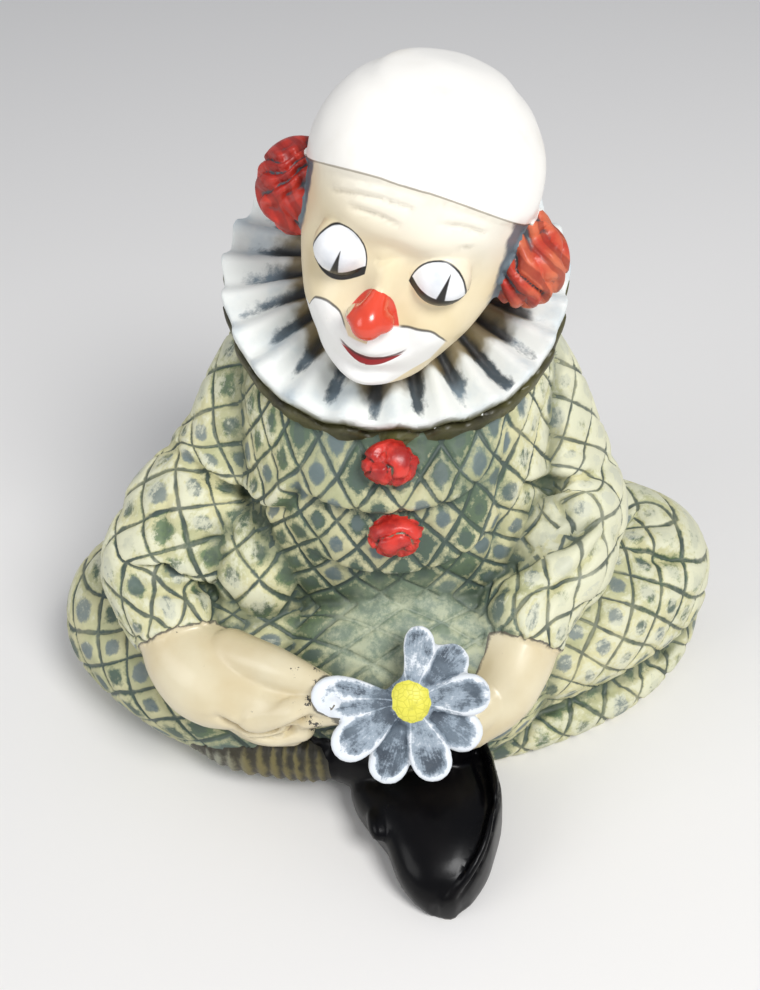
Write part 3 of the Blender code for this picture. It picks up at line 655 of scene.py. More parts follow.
# %% [markdown]
# ## Hands, daisy and shoe
#
# Each hand is a few short sweeps pressed together. The daisy has eight petals on a ring with room for a
# ninth, which is missing. One petal is a sphere squeezed into a spoon with a thick rim, and Instance on
# Points sets it round the eye. The shoe lies on its outer side, so its sections are stacked from heel to
# toe, and a second, thinner stack makes the welt of the sole.

# %% Hands
HANDS = [  # how flat the section is, and points with a radius
    (0.9, [(-4.7, -2.7, 3.6, 0.82), (-4.5, -3.2, 3.3, 0.98), (-3.9, -3.8, 3.1, 1.02),
           (-3.0, -4.3, 3.2, 0.72)]),
    (1, [(-3.4, -4.3, 3.2, 0.52), (-2.4, -4.8, 3.3, 0.44), (-1.45, -5.1, 3.5, 0.30)]),
    (1, [(-3.8, -4.2, 2.75, 0.40), (-2.9, -4.75, 2.65, 0.36), (-2.2, -4.9, 2.8, 0.30)]),
    (1, [(-3.8, -4.0, 2.45, 0.36), (-3.1, -4.5, 2.3, 0.32), (-2.4, -4.7, 2.4, 0.28)]),
    (1, [(-3.1, -4.75, 3.1, 0.34), (-2.35, -5.0, 3.45, 0.28), (-1.9, -5.08, 3.65, 0.24),
         (-1.5, -5.32, 3.92, 0.14)]),
    (1, [(-3.6, -3.6, 3.7, 0.50), (-2.6, -4.3, 3.9, 0.42), (-1.7, -4.8, 3.9, 0.28)]),
    (0.9, [(2.45, -3.05, 3.75, 0.82), (2.2, -3.7, 3.3, 0.86), (1.8, -4.3, 2.8, 0.74),
           (1.2, -4.7, 2.4, 0.55)]),
    (1, [(1.5, -4.6, 2.9, 0.5), (0.9, -5.0, 2.7, 0.42), (0.3, -5.1, 2.8, 0.35)]),
]
for squash, path in HANDS:
    skin("hand", "hands", sweep(path, 32, 32, squash=squash))
print("hands:", len(HANDS), "sweeps")

# %% Daisy
FLOWER_MIDDLE = np.array([0.0, -5.0, 3.60])
FLOWER_FACING = unit((0.02, -0.77, 0.64))
PETALS = 8
PETAL_STEP = math.radians(38)
FIRST_PETAL = math.radians(78)
PETAL_START, PETAL_LENGTH, PETAL_WIDTH, PETAL_WALL = 0.22, 1.60, 0.53, 0.13
RIM_HEIGHT = 0.10
PETAL_LEAN, TILT_TO_AND_FRO, HELD_PETAL_TILT = 0.06, 0.11, 0.22   # radians
HELD_PETAL_STRETCH = 0.24


def flower_frame():
    across = unit(np.cross((0, 0, 1.0), FLOWER_FACING))
    return np.column_stack([across, np.cross(FLOWER_FACING, across), FLOWER_FACING])


def spread(along):
    """How broad a petal is from its root, at 0, to its tip, at 1. Takes numbers or a Wire."""
    return along * 0.65 + 0.40


def grow_petals():
    graph, (count, length, width) = new_growth(
        "petals", count=PETALS, length=PETAL_LENGTH, width=PETAL_WIDTH)
    bud = graph.add("GeometryNodeMeshUVSphere", None, {"Segments": 40, "Rings": 24, "Radius": 1.0})
    x, y, z = graph.parts(graph.add("GeometryNodeInputPosition"))
    along = (x + 1) * 0.5
    out = (x * x + y * y) ** 0.5
    rim = out.rise(0.55, 0.82) * (0.6 + along * 0.4) * RIM_HEIGHT
    spoon = graph.vector(PETAL_START + (length - PETAL_START) * along, y * width * spread(along),
                         z * PETAL_WALL + z.above(-0.1) * rim)
    petal = graph.add("GeometryNodeSetPosition", None, {"Geometry": bud, "Position": spoon})
    ring = graph.add("GeometryNodeMeshLine", None, {"Count": count, "Offset": (0, 0, 0)})
    index = graph.add("GeometryNodeInputIndex")
    held = index / (PETALS - 1)
    lift = (index * math.pi + 0.5).cos() * -TILT_TO_AND_FRO - PETAL_LEAN - (1 - index).at_least(0) * 0.04
    lift = lift - held ** 8 * HELD_PETAL_TILT
    stretch = graph.vector(held ** 3 * HELD_PETAL_STRETCH + 1, 1.0, 1.0)
    turn = graph.vector(0.0, lift, FIRST_PETAL - index * PETAL_STEP)
    petals = graph.add("GeometryNodeInstanceOnPoints", None, {
        "Points": ring, "Instance": petal, "Rotation": turn, "Scale": stretch})
    placed = graph.add("GeometryNodeTransform", None, {
        "Geometry": petals, "Translation": FLOWER_MIDDLE.tolist(),
        "Rotation": tuple(Matrix(flower_frame()).to_euler())})
    return finish_growth(graph, placed, "petals")


Lump("petals", "petals", *grow_petals())
ball("flower_eye", "flower_eye", FLOWER_MIDDLE + 0.10 * FLOWER_FACING, (0.49, 0.49, 0.29), flower_frame())
stalk = [(*(FLOWER_MIDDLE - 0.30 * FLOWER_FACING), 0.30), (*(FLOWER_MIDDLE - 0.7 * FLOWER_FACING), 0.35),
         (0.7, -4.5, 2.8, 0.4), (0.9, -4.6, 1.6, 0.45)]
skin("stalk", "shoe", sweep(stalk, 16, 16))
print("daisy:", PETALS, "petals")

# %% Shoe and trouser hem
SHOE = [  # distance forwards, left edge, right edge, height
    (3.6, -0.8, 1.0, 1.2),
    (4.5, -1.2, 1.60, 1.45),
    (5.2, -1.30, 1.72, 1.50),
    (5.8, -1.05, 1.74, 1.50),
    (6.4, -0.65, 1.57, 1.42),
    (6.9, -0.47, 1.36, 1.27),
    (7.25, -0.30, 1.12, 1.10),
    (7.48, -0.08, 0.88, 0.90),
    (7.62, 0.14, 0.62, 0.66),
]
SOLE, WELT = 0.22, 0.07


def shoe_rings(rings, sides, layer=None, grow=0.0):
    """Sections of the shoe from heel to toe; with a layer, only that thickness inside its right edge."""
    forward = np.linspace(SHOE[0][0], SHOE[-1][0], rings)
    left, right, tall = table_at(SHOE, forward).T
    if layer is not None:
        left, right = right - layer, right + grow
    angle = np.linspace(0, TURN, sides, endpoint=False)
    round_x = np.sign(np.cos(angle)) * np.abs(np.cos(angle)) ** 0.8
    round_z = np.sign(np.sin(angle)) * np.abs(np.sin(angle)) ** 0.8
    made = []
    for k in range(rings):
        x = (left[k] + right[k]) / 2 + (right[k] - left[k]) / 2 * round_x
        z = tall[k] / 2 + (tall[k] / 2 + grow) * round_z
        made.append(np.stack([x, np.full(sides, -forward[k] - (grow if k == rings - 1 else 0)), z], axis=-1))
    return np.array(made)


skin("shoe_upper", "shoe", shoe_rings(60, 64))
skin("shoe_sole", "shoe", shoe_rings(60, 32, layer=SOLE, grow=WELT))
skin("ankle", "shoe", sweep([(-1.8, -3.8, 1.2, 0.85), (-0.4, -4.4, 1.1, 0.95)], 32, 12))
ball("shoe_tongue", "shoe", (-0.76, -5.95, 1.0), (0.24, 0.48, 0.26))
RIGHT_HEM = [(-4.6, -3.45, 1.05, 0.36), (-3.8, -3.88, 1.0, 0.44), (-2.9, -4.15, 1.05, 0.46),
             (-2.1, -4.38, 1.15, 0.46), (-1.5, -4.45, 1.2, 0.40)]
RIB_DEPTH, RIB_RATE = 0.09, 80


def ribs(s, a):
    """Knitted ribs that follow each other a little unevenly."""
    return RIB_DEPTH * np.sin(RIB_RATE * s + 3 * np.sin(7 * s))


skin("right_hem", "hem", sweep(RIGHT_HEM, 48, 160, ribs, squash=1.2))
print("all the clay:", len(LUMPS), "lumps,", sum(len(lump.triangles) for lump in LUMPS), "triangles")
print(", ".join(sorted({lump.name for lump in LUMPS})))

# %% [markdown]
# ## Pressing the lumps together
#
# The Remesh modifier in Voxel mode keeps only the outer skin of all the lumps, with small even faces. That
# is what pressing clay together does. A Boolean union would keep every vertex, but with fifty lumps it is
# slow and fails easily. The fine skin is carved next, and then thinned to fit the triangle limit.

# %% Fusing, smoothing and thinning
CLAY_GRAIN = 0.050
TRIANGLES = 178000
LAP_MIDDLE, LAP_RADII = (0.0, -3.9, 4.1), (2.6, 1.2, 1.3)     # where the cloth over the lap lies smooth


def neighbours(triangles):
    """Every edge once, as two columns."""
    edges = np.sort(triangles[:, [0, 1, 1, 2, 2, 0]].reshape(-1, 2), axis=1)
    return np.unique(edges, axis=0)


def blur(values, edges, rounds, share=1.0):
    """Moves each vertex's value towards its neighbours' mean."""
    count = len(values)
    flat = values.reshape(count, -1)
    a, b = edges.T
    many = np.bincount(a, minlength=count) + np.bincount(b, minlength=count)
    for _ in range(rounds):
        total = np.stack([np.bincount(a, column[b], count) + np.bincount(b, column[a], count)
                          for column in flat.T], axis=1)
        flat = flat + share * (total / many[:, None] - flat)
    return flat.reshape(values.shape)


def normals_of(points, triangles):
    a, b, c = (points[triangles[:, k]] for k in range(3))
    face = np.cross(b - a, c - a)
    total = np.stack([sum(np.bincount(triangles[:, k], face[:, axis], len(points)) for k in range(3))
                      for axis in range(3)], axis=1)
    return total / np.linalg.norm(total, axis=1)[:, None].clip(1e-12)


def mesh_object(name, points, triangles):
    mesh = bpy.data.meshes.new(name)
    mesh.vertices.add(len(points))
    mesh.vertices.foreach_set("co", points.ravel())
    mesh.loops.add(triangles.size)
    mesh.loops.foreach_set("vertex_index", triangles.ravel())
    mesh.polygons.add(len(triangles))
    mesh.polygons.foreach_set("loop_start", np.arange(0, triangles.size, 3))
    mesh.update(calc_edges=True)
    made = bpy.data.objects.new(name, mesh)
    bpy.context.scene.collection.objects.link(made)
    return made


def press_together():
    starts = np.cumsum([0] + [len(lump.points) for lump in LUMPS])
    points = np.concatenate([lump.points for lump in LUMPS])
    triangles = np.concatenate([lump.triangles + start for lump, start in zip(LUMPS, starts)])
    clay = mesh_object("clay", points, triangles)
    fuse = clay.modifiers.new("fuse", "REMESH")
    fuse.mode, fuse.voxel_size = "VOXEL", CLAY_GRAIN
    points, triangles = mesh_arrays(clay)
    bpy.data.objects.remove(clay)
    return points, triangles


points, triangles = press_together()
edges = neighbours(triangles)
points = blur(points, edges, 2, 0.5)
soft = blur(points, edges, 60)
lap = 1 - ease(np.linalg.norm((points - LAP_MIDDLE) / LAP_RADII, axis=1), 0.5, 1.0)
points = points + lap[:, None] * (soft - points)
print("pressed together:", len(points), "points,", len(triangles), "triangles")

# %% [markdown]
# ## Which lump is where
#
# After the remesh no vertex knows which lump it came from. Each lump's own mesh can still be asked: a
# search tree returns its nearest face, and from that the distance and the place on its cloth.

# %% Finding each point's lump
REACH = 0.25
FAR = 9.0       # stands for a lump that is out of reach


def survey(points, lumps):
    """For each lump and point: the distance, and the cloth coordinates at the nearest place."""
    gaps = np.full((len(lumps), len(points)), FAR)
    cloth = np.zeros((len(lumps), len(points), 2))
    rows = points.tolist()
    for k, lump in enumerate(lumps):
        if not hasattr(lump, "tree"):
            shape = lump.points.tolist(), lump.triangles.tolist()
            lump.tree = BVHTree.FromPolygons(*shape, all_triangles=True)
        low, high = lump.points.min(axis=0) - REACH, lump.points.max(axis=0) + REACH
        near = np.flatnonzero(np.all((points > low) & (points < high), axis=1))
        hits = [lump.tree.find_nearest(rows[i], REACH) for i in near]
        kept = [n for n, hit in enumerate(hits) if hit[0] is not None]
        near = near[kept]
        if not len(near):
            continue
        gaps[k, near] = [hits[n][3] for n in kept]
        face = np.array([hits[n][2] for n in kept])
        spot = np.array([hits[n][0] for n in kept])
        a, b, c = (lump.points[lump.triangles[face, corner]] for corner in range(3))
        ab, ac, ap = b - a, c - a, spot - a
        bb, bc, cc = (ab * ab).sum(1), (ab * ac).sum(1), (ac * ac).sum(1)
        pb, pc = (ap * ab).sum(1), (ap * ac).sum(1)
        base = (bb * cc - bc * bc).clip(1e-12)
        v, w = (cc * pb - bc * pc) / base, (bb * pc - bc * pb) / base
        corner = lump.cloth[face]
        cloth[k, near] = corner[:, 0] + v[:, None] * (corner[:, 1] - corner[:, 0]) + w[:, None] * (
            corner[:, 2] - corner[:, 0])
    return gaps, cloth


gaps, cloth = survey(points, LUMPS)
owner = gaps.argmin(axis=0)
print("surveyed", len(points), "points; worst gap", gaps.min(axis=0).max().round(3))

# %% [markdown]
# ## Carving
#
# The suit's lozenges are cut into the clay as shallow, slightly shaky grooves. On the cloth's own
# coordinates u and v the cuts lie where u + v and u - v are whole numbers, so the pattern follows every
# limb. Where cloth is pinched, a crease cuts in and the cloth above it bulges. The face gets its forehead
# lines, the hair and the buttons their furrows, and all the clay a faint unevenness from the fingers.

# %% Grooves and wrinkles
GROOVE_DEPTH = 0.055
GROOVE_WIDTH = 0.085       # half a groove, as a share of the gap between two of them
SHAKE = 0.07
STRAND = 0.34              # from one furrow of the hair to the next
STRAND_DEPTH, KNOT_DEPTH = 0.13, 0.14
CREASE_STEPS, CREASE_REACH = 60, 1.2


def shaky(points, cloth):
    """Cloth coordinates with the carver's wobble."""
    wobble = np.stack([grain(points, 0.9, 3), grain(points, 0.9, 4)], axis=-1)
    return cloth + SHAKE * wobble


def groove(cloth):
    lines = np.stack([cloth.sum(axis=-1), cloth[..., 0] - cloth[..., 1]], axis=-1)
    gap = np.abs((lines + 0.5) % 1 - 0.5).min(axis=-1)
    return 1 - ease(gap, 0.3 * GROOVE_WIDTH, 1.5 * GROOVE_WIDTH)


# %% Creases of the suit, the hands and the shoe
CREASES = [  # depth, half width, how much the cloth above bulges, and the places it passes
    (0.24, 0.10, 0.8, [(-4.3, -0.9, 6.7), (-3.7, -1.45, 6.4), (-3.2, -1.45, 6.2), (-2.4, -2.35, 6.4),
                       (-2.05, -2.65, 7.0), (-1.85, -2.6, 7.5)]),
    (0.16, 0.16, 0.0, [(-4.65, -1.5, 6.3), (-4.85, -1.8, 5.9), (-4.85, -2.3, 5.6), (-4.7, -2.5, 4.8)]),
    (0.16, 0.12, 0.5, [(-5.6, -2.4, 4.85), (-5.25, -2.65, 4.7), (-4.65, -2.7, 4.7), (-4.0, -2.2, 4.3)]),
    (0.18, 0.16, 0.0, [(-2.95, -1.7, 6.1), (-2.8, -2.3, 5.5), (-3.0, -2.7, 4.9)]),
    (0.18, 0.10, 0.7, [(2.45, -2.3, 6.6), (3.35, -1.4, 6.0), (4.1, -1.3, 6.05)]),
    (0.14, 0.10, 0.6, [(3.1, -2.5, 5.25), (3.6, -2.4, 5.4), (4.1, -2.15, 5.45)]),
    (0.16, 0.09, 0.6, [(2.9, -3.4, 4.65), (3.35, -3.1, 4.8), (3.9, -2.7, 5.1), (4.3, -2.1, 5.2)]),
    (0.10, 0.08, 0.6, [(1.9, -3.1, 4.35), (2.4, -3.25, 4.7), (2.9, -3.35, 4.65)]),
    (0.16, 0.16, 0.0, [(2.2, -2.1, 8.4), (2.1, -2.3, 7.6), (2.0, -2.6, 6.95), (2.0, -2.65, 6.05),
                       (1.85, -2.75, 5.0)]),
    (0.22, 0.14, 0.3, [(5.15, -0.75, 3.5), (5.5, -1.05, 3.4), (6.4, -0.9, 3.15)]),
    (0.20, 0.10, 0.9, [(-1.95, -2.7, 7.1), (-1.35, -3.0, 7.05), (-0.5, -3.25, 7.0), (0.5, -3.2, 7.05),
                       (1.1, -3.05, 7.1), (1.6, -2.8, 7.3)]),
    (0.16, 0.10, 0.8, [(-1.7, -2.85, 5.65), (-1.0, -3.15, 5.5), (0.0, -3.3, 5.45), (1.1, -3.1, 5.7),
                       (1.8, -2.75, 6.0)]),
    (0.14, 0.08, 0.2, [(1.7, -3.6, 1.0), (3.35, -3.2, 0.95), (4.9, -2.6, 0.95), (5.9, -1.85, 1.0),
                       (6.6, -1.2, 1.3)]),
]
HAND_CREASES = [
    (0.24, 0.08, 0.3, [(-3.85, -4.7, 3.15), (-3.54, -4.88, 2.96), (-3.33, -4.89, 2.87), (-2.87, -5.01, 2.92),
                       (-2.35, -5.27, 3.31), (-1.92, -5.28, 3.6)]),
    (0.22, 0.07, 0.3, [(-3.6, -4.8, 2.6), (-3.25, -4.98, 2.58), (-2.65, -5.13, 2.80), (-2.22, -5.28, 3.2)]),
]
SHOE_CREASES = [
    (0.06, 0.05, 0.3, [(1.31, -4.8, 1.35), (1.55, -5.66, 1.42), (1.60, -6.31, 1.45), (1.40, -6.92, 1.19),
                       (1.10, -7.40, 0.97), (0.80, -7.7, 0.66)]),
]


def crease_cut(points, normals, creases):
    """How deep these creases cut, below 0 where the clay above them bulges."""
    made = np.zeros(len(points))
    for depth, width, bulge, places in creases:
        line = curve_through(places, CREASE_STEPS)
        low, high = line.min(axis=0) - CREASE_REACH, line.max(axis=0) + CREASE_REACH
        near = np.flatnonzero(np.all((points > low) & (points < high), axis=1))
        apart = points[near, None, :] - line[None, :, :]
        deep = (apart * normals[near, None, :]).sum(axis=2)
        flat = np.sqrt(((apart ** 2).sum(axis=2) - deep ** 2).clip(0))
        best = flat.argmin(axis=1)
        rows = np.arange(len(near))
        gap, off, rise = flat[rows, best], np.abs(deep[rows, best]), apart[rows, best, 2]
        fade = 1 - ease(off, 0.4, 0.9)
        ends = np.minimum(best, CREASE_STEPS - 1 - best) / (CREASE_STEPS - 1)
        fade = fade * (0.25 + 0.75 * ease(ends, 0.0, 0.15))
        signed = np.where(rise > 0, gap, -gap)
        puff = bulge * bell(signed, 2.6 * width, 1.8 * width)
        made[near] += depth * fade * (bell(signed, -0.02, width) - puff)
    return made


# %% Forehead lines, strands and knots
WRINKLES = [  # the curve over the forehead as height, bend and middle, and its two ends
    (0.58, -0.25, -0.1, -1.35, 0.35),
    (0.30, -0.35, -0.35, -0.95, 0.15),
    (0.43, -0.55, 0.8, 0.55, 1.50),
    (0.06, -0.90, 0.95, 0.95, 1.35),
]


def forehead_lines(points):
    x, y, z = in_head(points).T
    made = 0
    for height, bend, middle, low, high in WRINKLES:
        line = height + bend * (x - middle) ** 2
        share = ease(x, low, low + 0.25) * (1 - ease(x, high - 0.25, high))
        made = made + share * (bell(z, line, 0.035) - 0.5 * bell(z, line + 0.10, 0.07))
    frown = bell(z, -0.44 + 0.5 * x, 0.045) * bell(x, -0.1, 0.22)
    return (made * 0.05 + 0.06 * frown) * (y < -1)


def strands(points):
    """The bending furrows between the locks of hair."""
    x, y, z = in_head(points).T
    bend = 0.55 * grain(points, 0.9, 12) + 0.15 * grain(points, 0.35, 13)
    along = 0.8 * np.abs(x) + 0.6 * z + 0.5 * y + bend
    return (0.5 + 0.5 * np.cos(TURN * along / STRAND)) ** 2


def knots(points):
    """Furrows that wind between the knots of a button."""
    wander = np.minimum(np.abs(grain(points, 0.30, 21)), np.abs(grain(points, 0.34, 22)) + 0.05)
    return 1 - ease(wander, 0.0, 0.25)


# %% Cutting it all into the skin
def on_lumps(finish):
    """1 at the points whose nearest lump has this finish."""
    return np.array([lump.finish == finish for lump in LUMPS], float)[owner]


facing = normals_of(points, triangles)
cut = blur(crease_cut(points, facing, CREASES) * on_lumps("suit"), edges, 3)
cut += crease_cut(points, facing, HAND_CREASES) * on_lumps("hands")
cut += crease_cut(points, facing, SHOE_CREASES) * on_lumps("shoe")
cut += GROOVE_DEPTH * groove(shaky(points, cloth[owner, np.arange(len(points))])) * on_lumps("suit")
cut += forehead_lines(points) * on_lumps("face")
cut += STRAND_DEPTH * (strands(points) - 0.3) * blur(on_lumps("hair"), edges, 4)
cut += KNOT_DEPTH * (knots(points) - 0.3) * blur(on_lumps("buttons"), edges, 2)
cut -= 0.012 * grain(points, 0.5, 8) * (points[:, 2] > 0.1)
points = points - facing * cut[:, None]
points[points[:, 2] < 0.04, 2] = 0

thick = mesh_object("thick", points, triangles)
thin = thick.modifiers.new("thin", "DECIMATE")
thin.ratio = TRIANGLES / len(triangles)
points, triangles = mesh_arrays(thick)
bpy.data.objects.remove(thick)
print("thinned to", len(points), "points,", len(triangles), "triangles")

# %% [markdown]
# ## Masking tape
#
# A painter masks the edge between two colours. Here each point belongs to the finish of its nearest lump,
# and every triangle that spans two finishes is cut where the two are equally near. The colours then meet in
# a clean line, which face materials on uncut triangles could not give.

# %% Cutting the triangles along the colour edges
NAMES = list(FINISHES)


def gap_by_finish(gaps):
    made = np.full((len(NAMES), gaps.shape[1]), FAR)
    for k, lump in enumerate(LUMPS):
        row = NAMES.index(lump.finish)
        made[row] = np.minimum(made[row], gaps[k])
    return made


def cut_along_edges(points, triangles, gaps):
    """Returns the points, the triangles and each triangle's finish after the cut."""
    label = gaps.argmin(axis=0)
    a, b = neighbours(triangles).T
    split = label[a] != label[b]
    a, b = a[split], b[split]
    before = (gaps[label[b], a] - gaps[label[a], a]).clip(0)
    after = (gaps[label[a], b] - gaps[label[b], b]).clip(0)
    share = (before / (before + after).clip(1e-9)).clip(0.12, 0.88)[:, None]
    added = points[a] + share * (points[b] - points[a])
    middle = {(int(p), int(q)): len(points) + k for k, (p, q) in enumerate(zip(a, b))}
    corner = label[triangles]
    whole = (corner == corner[:, :1]).all(axis=1)
    made, finish, centres = [triangles[whole]], [corner[whole, 0]], []
    extra, extra_finish = [], []
    for t in triangles[~whole].tolist():
        names = [label[p] for p in t]
        cut = [middle.get((min(t[k], t[k - 2]), max(t[k], t[k - 2]))) for k in range(3)]
        if None not in cut:
            centre = len(points) + len(added) + len(centres)
            centres.append(sum(added[c - len(points)] for c in cut) / 3)
            for k in range(3):
                extra += [(t[k], cut[k], centre), (t[k], centre, cut[k - 1])]
                extra_finish += [names[k]] * 2
            continue
        k = next(k for k in range(3) if cut[k] is None)       # the edge from k to k + 1 is whole
        p, q, r = t[k - 1], t[k], t[k - 2]
        to_q, to_r = cut[k - 1], cut[k - 2]
        extra += [(p, to_q, to_r), (to_q, q, r), (to_q, r, to_r)]
        extra_finish += [names[k - 1], names[k], names[k]]
    points = np.vstack([points, added] + ([np.array(centres)] if centres else []))
    triangles = np.concatenate(made + [np.array(extra)])
    return points, triangles, np.concatenate(finish + [np.array(extra_finish)])


# %% The edges of the cap and of the nose's red
def under_cap_edge(points):
    """How far points of the head lie below the cap's edge."""
    _, y, z = in_head(points).T
    return cap_edge(1 + ((y - HEAD_DEEP[0]) / HEAD_DEEP[1]).clip(-1, 1)) - z


def outside_red(points, apart):
    """How far points lie outside the nose's red; apart says the same by the nearest lump alone."""
    x, y, z = in_head(points).T
    outside = np.abs(x - RED_TOP[0]) - RED_HALF * np.sqrt(((RED_TOP[1] - z) / RED_TALL).clip(0, 1))
    low = 1 - ease(z, -1.52, -1.38)
    outside = outside + low * (apart - outside)
    outside[(y > -1.8) | (z > -0.9)] = 0.5
    return outside


gaps, cloth = survey(points, LUMPS)
even = blur(gap_by_finish(gaps).T, neighbours(triangles), 6).T
face, cap, nose = (NAMES.index(name) for name in ("face", "cap", "nose"))
skull = np.isin(even.argmin(axis=0), (cap, face))
outside = under_cap_edge(points)[skull]
even[cap, skull], even[face, skull] = outside.clip(0), (-outside).clip(0)
snout = np.isin(even.argmin(axis=0), (nose, face))
outside = outside_red(points[snout], even[nose, snout] - even[face, snout])
even[nose, snout], even[face, snout] = outside.clip(0), (-outside).clip(0)
points, triangles, finish = cut_along_edges(points, triangles, even)
finish[points[triangles, 2].max(axis=1) < 0.001] = NAMES.index("base")
print("after the cut:", len(triangles), "triangles;",
      {name: int((finish == k).sum()) for k, name in enumerate(NAMES)})

# %% [markdown]
# ## What the painter reads from the surface
#
# Wash runs into the hollows and dry brush catches the crests, and the larger hollows are also darkened as
# painted shade. So each point gets a measure of how hollow the clay is there, taken at a small and a larger
# size, and a measure of how near the next colour is.
# The Pointiness output of the Geometry node is similar, but it is lost when the model is exported.

# %% Hollows
def hollowness(points, triangles, rounds):
    """Above 0 in a hollow and below 0 on a crest."""
    normals = normals_of(points, triangles)
    soft = blur(points, neighbours(triangles), rounds)
    return ((soft - points) * normals).sum(axis=1)


fine = hollowness(points, triangles, 5)
broad = hollowness(points, triangles, 60)
fine, broad = fine / np.percentile(abs(fine), 90), broad / np.percentile(abs(broad), 90)
print("hollows at two sizes:", fine.std().round(2), broad.std().round(2))


# %% Colour edges, seams and cloth coordinates
def distance_to(marked):
    """How far each point lies from the nearest of the marked ones."""
    tree = KDTree(len(marked))
    for k, i in enumerate(marked):
        tree.insert(points[i], k)
    tree.balance()
    return np.array([tree.find(p)[2] for p in points.tolist()])


names_at = np.zeros((len(NAMES), len(points)), bool)
for k in range(3):
    names_at[finish, triangles[:, k]] = True
rim = distance_to(np.flatnonzero(names_at.sum(axis=0) > 1))

gaps, cloth = survey(points, LUMPS)
of_lump = np.array([NAMES.index(lump.finish) for lump in LUMPS])
on_suit = of_lump == NAMES.index("suit")
whose = np.where(on_suit[:, None], gaps, FAR).argmin(axis=0)
a, b = neighbours(triangles).T
crossing = whose[a] != whose[b]
seam = distance_to(np.unique(np.concatenate([a[crossing], b[crossing]])))

owner = (gaps[:, triangles].mean(axis=2) + FAR * (of_lump[:, None] != finish[None, :])).argmin(axis=0)
span = np.array([lump.cloth[..., 0].max() for lump in LUMPS])[owner][:, None]
corners = cloth[owner[:, None], triangles]
corners[..., 0] += np.round((corners[:, :1, 0] - corners[..., 0]) / span.clip(1)) * span
wobbly = shaky(points[triangles], corners)
print("longest way to a colour edge and to a seam:", rim.max().round(2), seam.max().round(2))

# %% [markdown]
# ## One finished casting
#
# The clay is scaled to metres and set into the frame, and becomes one mesh with one material for each
# finish. Custom attributes carry the painter's measures into the shaders.

# %% The casting
def to_frame(points):
    """The shift, in clay centimetres, that sets the clay in the middle of the CAD box."""
    middle = (cad_box[0] + cad_box[1]) / 2
    low, high = points.min(axis=0), points.max(axis=0)
    return np.array([middle.x / CM - (low[0] + high[0]) / 2, middle.y / CM - (low[1] + high[1]) / 2, 0])


SHIFT = to_frame(points)
casting = mesh_object("figurine", (points + SHIFT) * CM, triangles)
mesh = casting.data
for material in FINISHES.values():
    mesh.materials.append(material)
mesh.polygons.foreach_set("material_index", finish.astype(np.int32))
mesh.polygons.foreach_set("use_smooth", np.ones(len(triangles), bool))
for name, values in (("fine", fine), ("broad", broad), ("rim", rim), ("seam", seam)):
    mesh.attributes.new(name, "FLOAT", "POINT").data.foreach_set("value", values.astype(np.float32))
mesh.uv_layers.new(name="cloth").data.foreach_set("uv", wobbly.astype(np.float32).ravel())
mesh.update()
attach(casting, "root")
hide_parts("clown_figurine")
print("casting:", len(mesh.vertices), "points,", len(mesh.polygons), "triangles; shifted by", SHIFT.round(3))

# %% [markdown]
# ## Paints
#
# Every finish is built the way the real one was: a base coat that isn't quite even, a dark wash in the
# hollows, a dry brush over the crests, and small chips. Some finishes also carry painted light and shade:
# darker in the deeper hollows and where parts meet, paler where the light falls. The Paint class holds the
# coordinates that all of them read: clay centimetres on the body, and clay centimetres on the upright head.

# %% The paint box
def tint(code, alpha=1.0):
    """A colour from its hex code, made linear as shaders need it."""
    values = [int(code[k:k + 2], 16) / 255 for k in (0, 2, 4)]
    return tuple(v / 12.92 if v <= 0.04045 else ((v + 0.055) / 1.055) ** 2.4 for v in values) + (alpha,)


class Paint(Graph):
    def __init__(self, name):
        self.name = name
        FINISHES[name].use_nodes = True
        super().__init__(FINISHES[name].node_tree)
        self.tree.nodes.clear()
        where = self.add("ShaderNodeTexCoord", None, None, "Object")
        self.place = self.add("ShaderNodeMapping", {"vector_type": "TEXTURE"}, {
            "Vector": where, "Location": tuple(SHIFT * CM), "Scale": (CM, CM, CM)})
        turn = Matrix(head_frame()).to_euler()
        self.head = self.add("ShaderNodeMapping", {"vector_type": "TEXTURE"}, {
            "Vector": self.place, "Location": tuple(HEAD_MIDDLE), "Rotation": tuple(turn)})
        self.fine, self.broad, self.rim, self.seam = (
            self.add("ShaderNodeAttribute", {"attribute_name": name}, None, "Fac")
            for name in ("fine", "broad", "rim", "seam"))

    def noise(self, size, detail=3.0, place=None, rough=0.5, seed=0.0):
        """Noise from 0 to 1 with bumps about size clay centimetres across."""
        return self.add("ShaderNodeTexNoise", {"noise_dimensions": "4D"}, {
            "Vector": place or self.place, "W": seed, "Scale": 0.5 / size, "Detail": detail,
            "Roughness": rough})

    def over(self, under, over, where):
        """One colour painted over another where the mask is 1."""
        node = self.tree.nodes.new("ShaderNodeMix")
        node.data_type = "RGBA"
        for socket, value in ((node.inputs[0], where), (node.inputs[6], under), (node.inputs[7], over)):
            self.feed(socket, value)
        return Wire(self, node.outputs[2])

    def finish(self, colour, roughness, height=None, bump=0.3, reach=0.0004, shine=0.5, **fixed):
        shader = self.tree.nodes.new("ShaderNodeBsdfPrincipled")
        shader.inputs["Specular IOR Level"].default_value = shine
        self.feed(shader.inputs["Base Color"], colour)
        self.feed(shader.inputs["Roughness"], roughness)
        for name, value in fixed.items():
            shader.inputs[name.replace("_", " ").title()].default_value = value
        if height is not None:
            bumped = self.add("ShaderNodeBump", None, {"Strength": bump, "Distance": reach, "Height": height})
            self.tree.links.new(bumped.socket, shader.inputs["Normal"])
        end = self.tree.nodes.new("ShaderNodeOutputMaterial")
        self.tree.links.new(shader.outputs[0], end.inputs[0])
        print(self.name, "paint:", len(self.tree.nodes), "nodes")
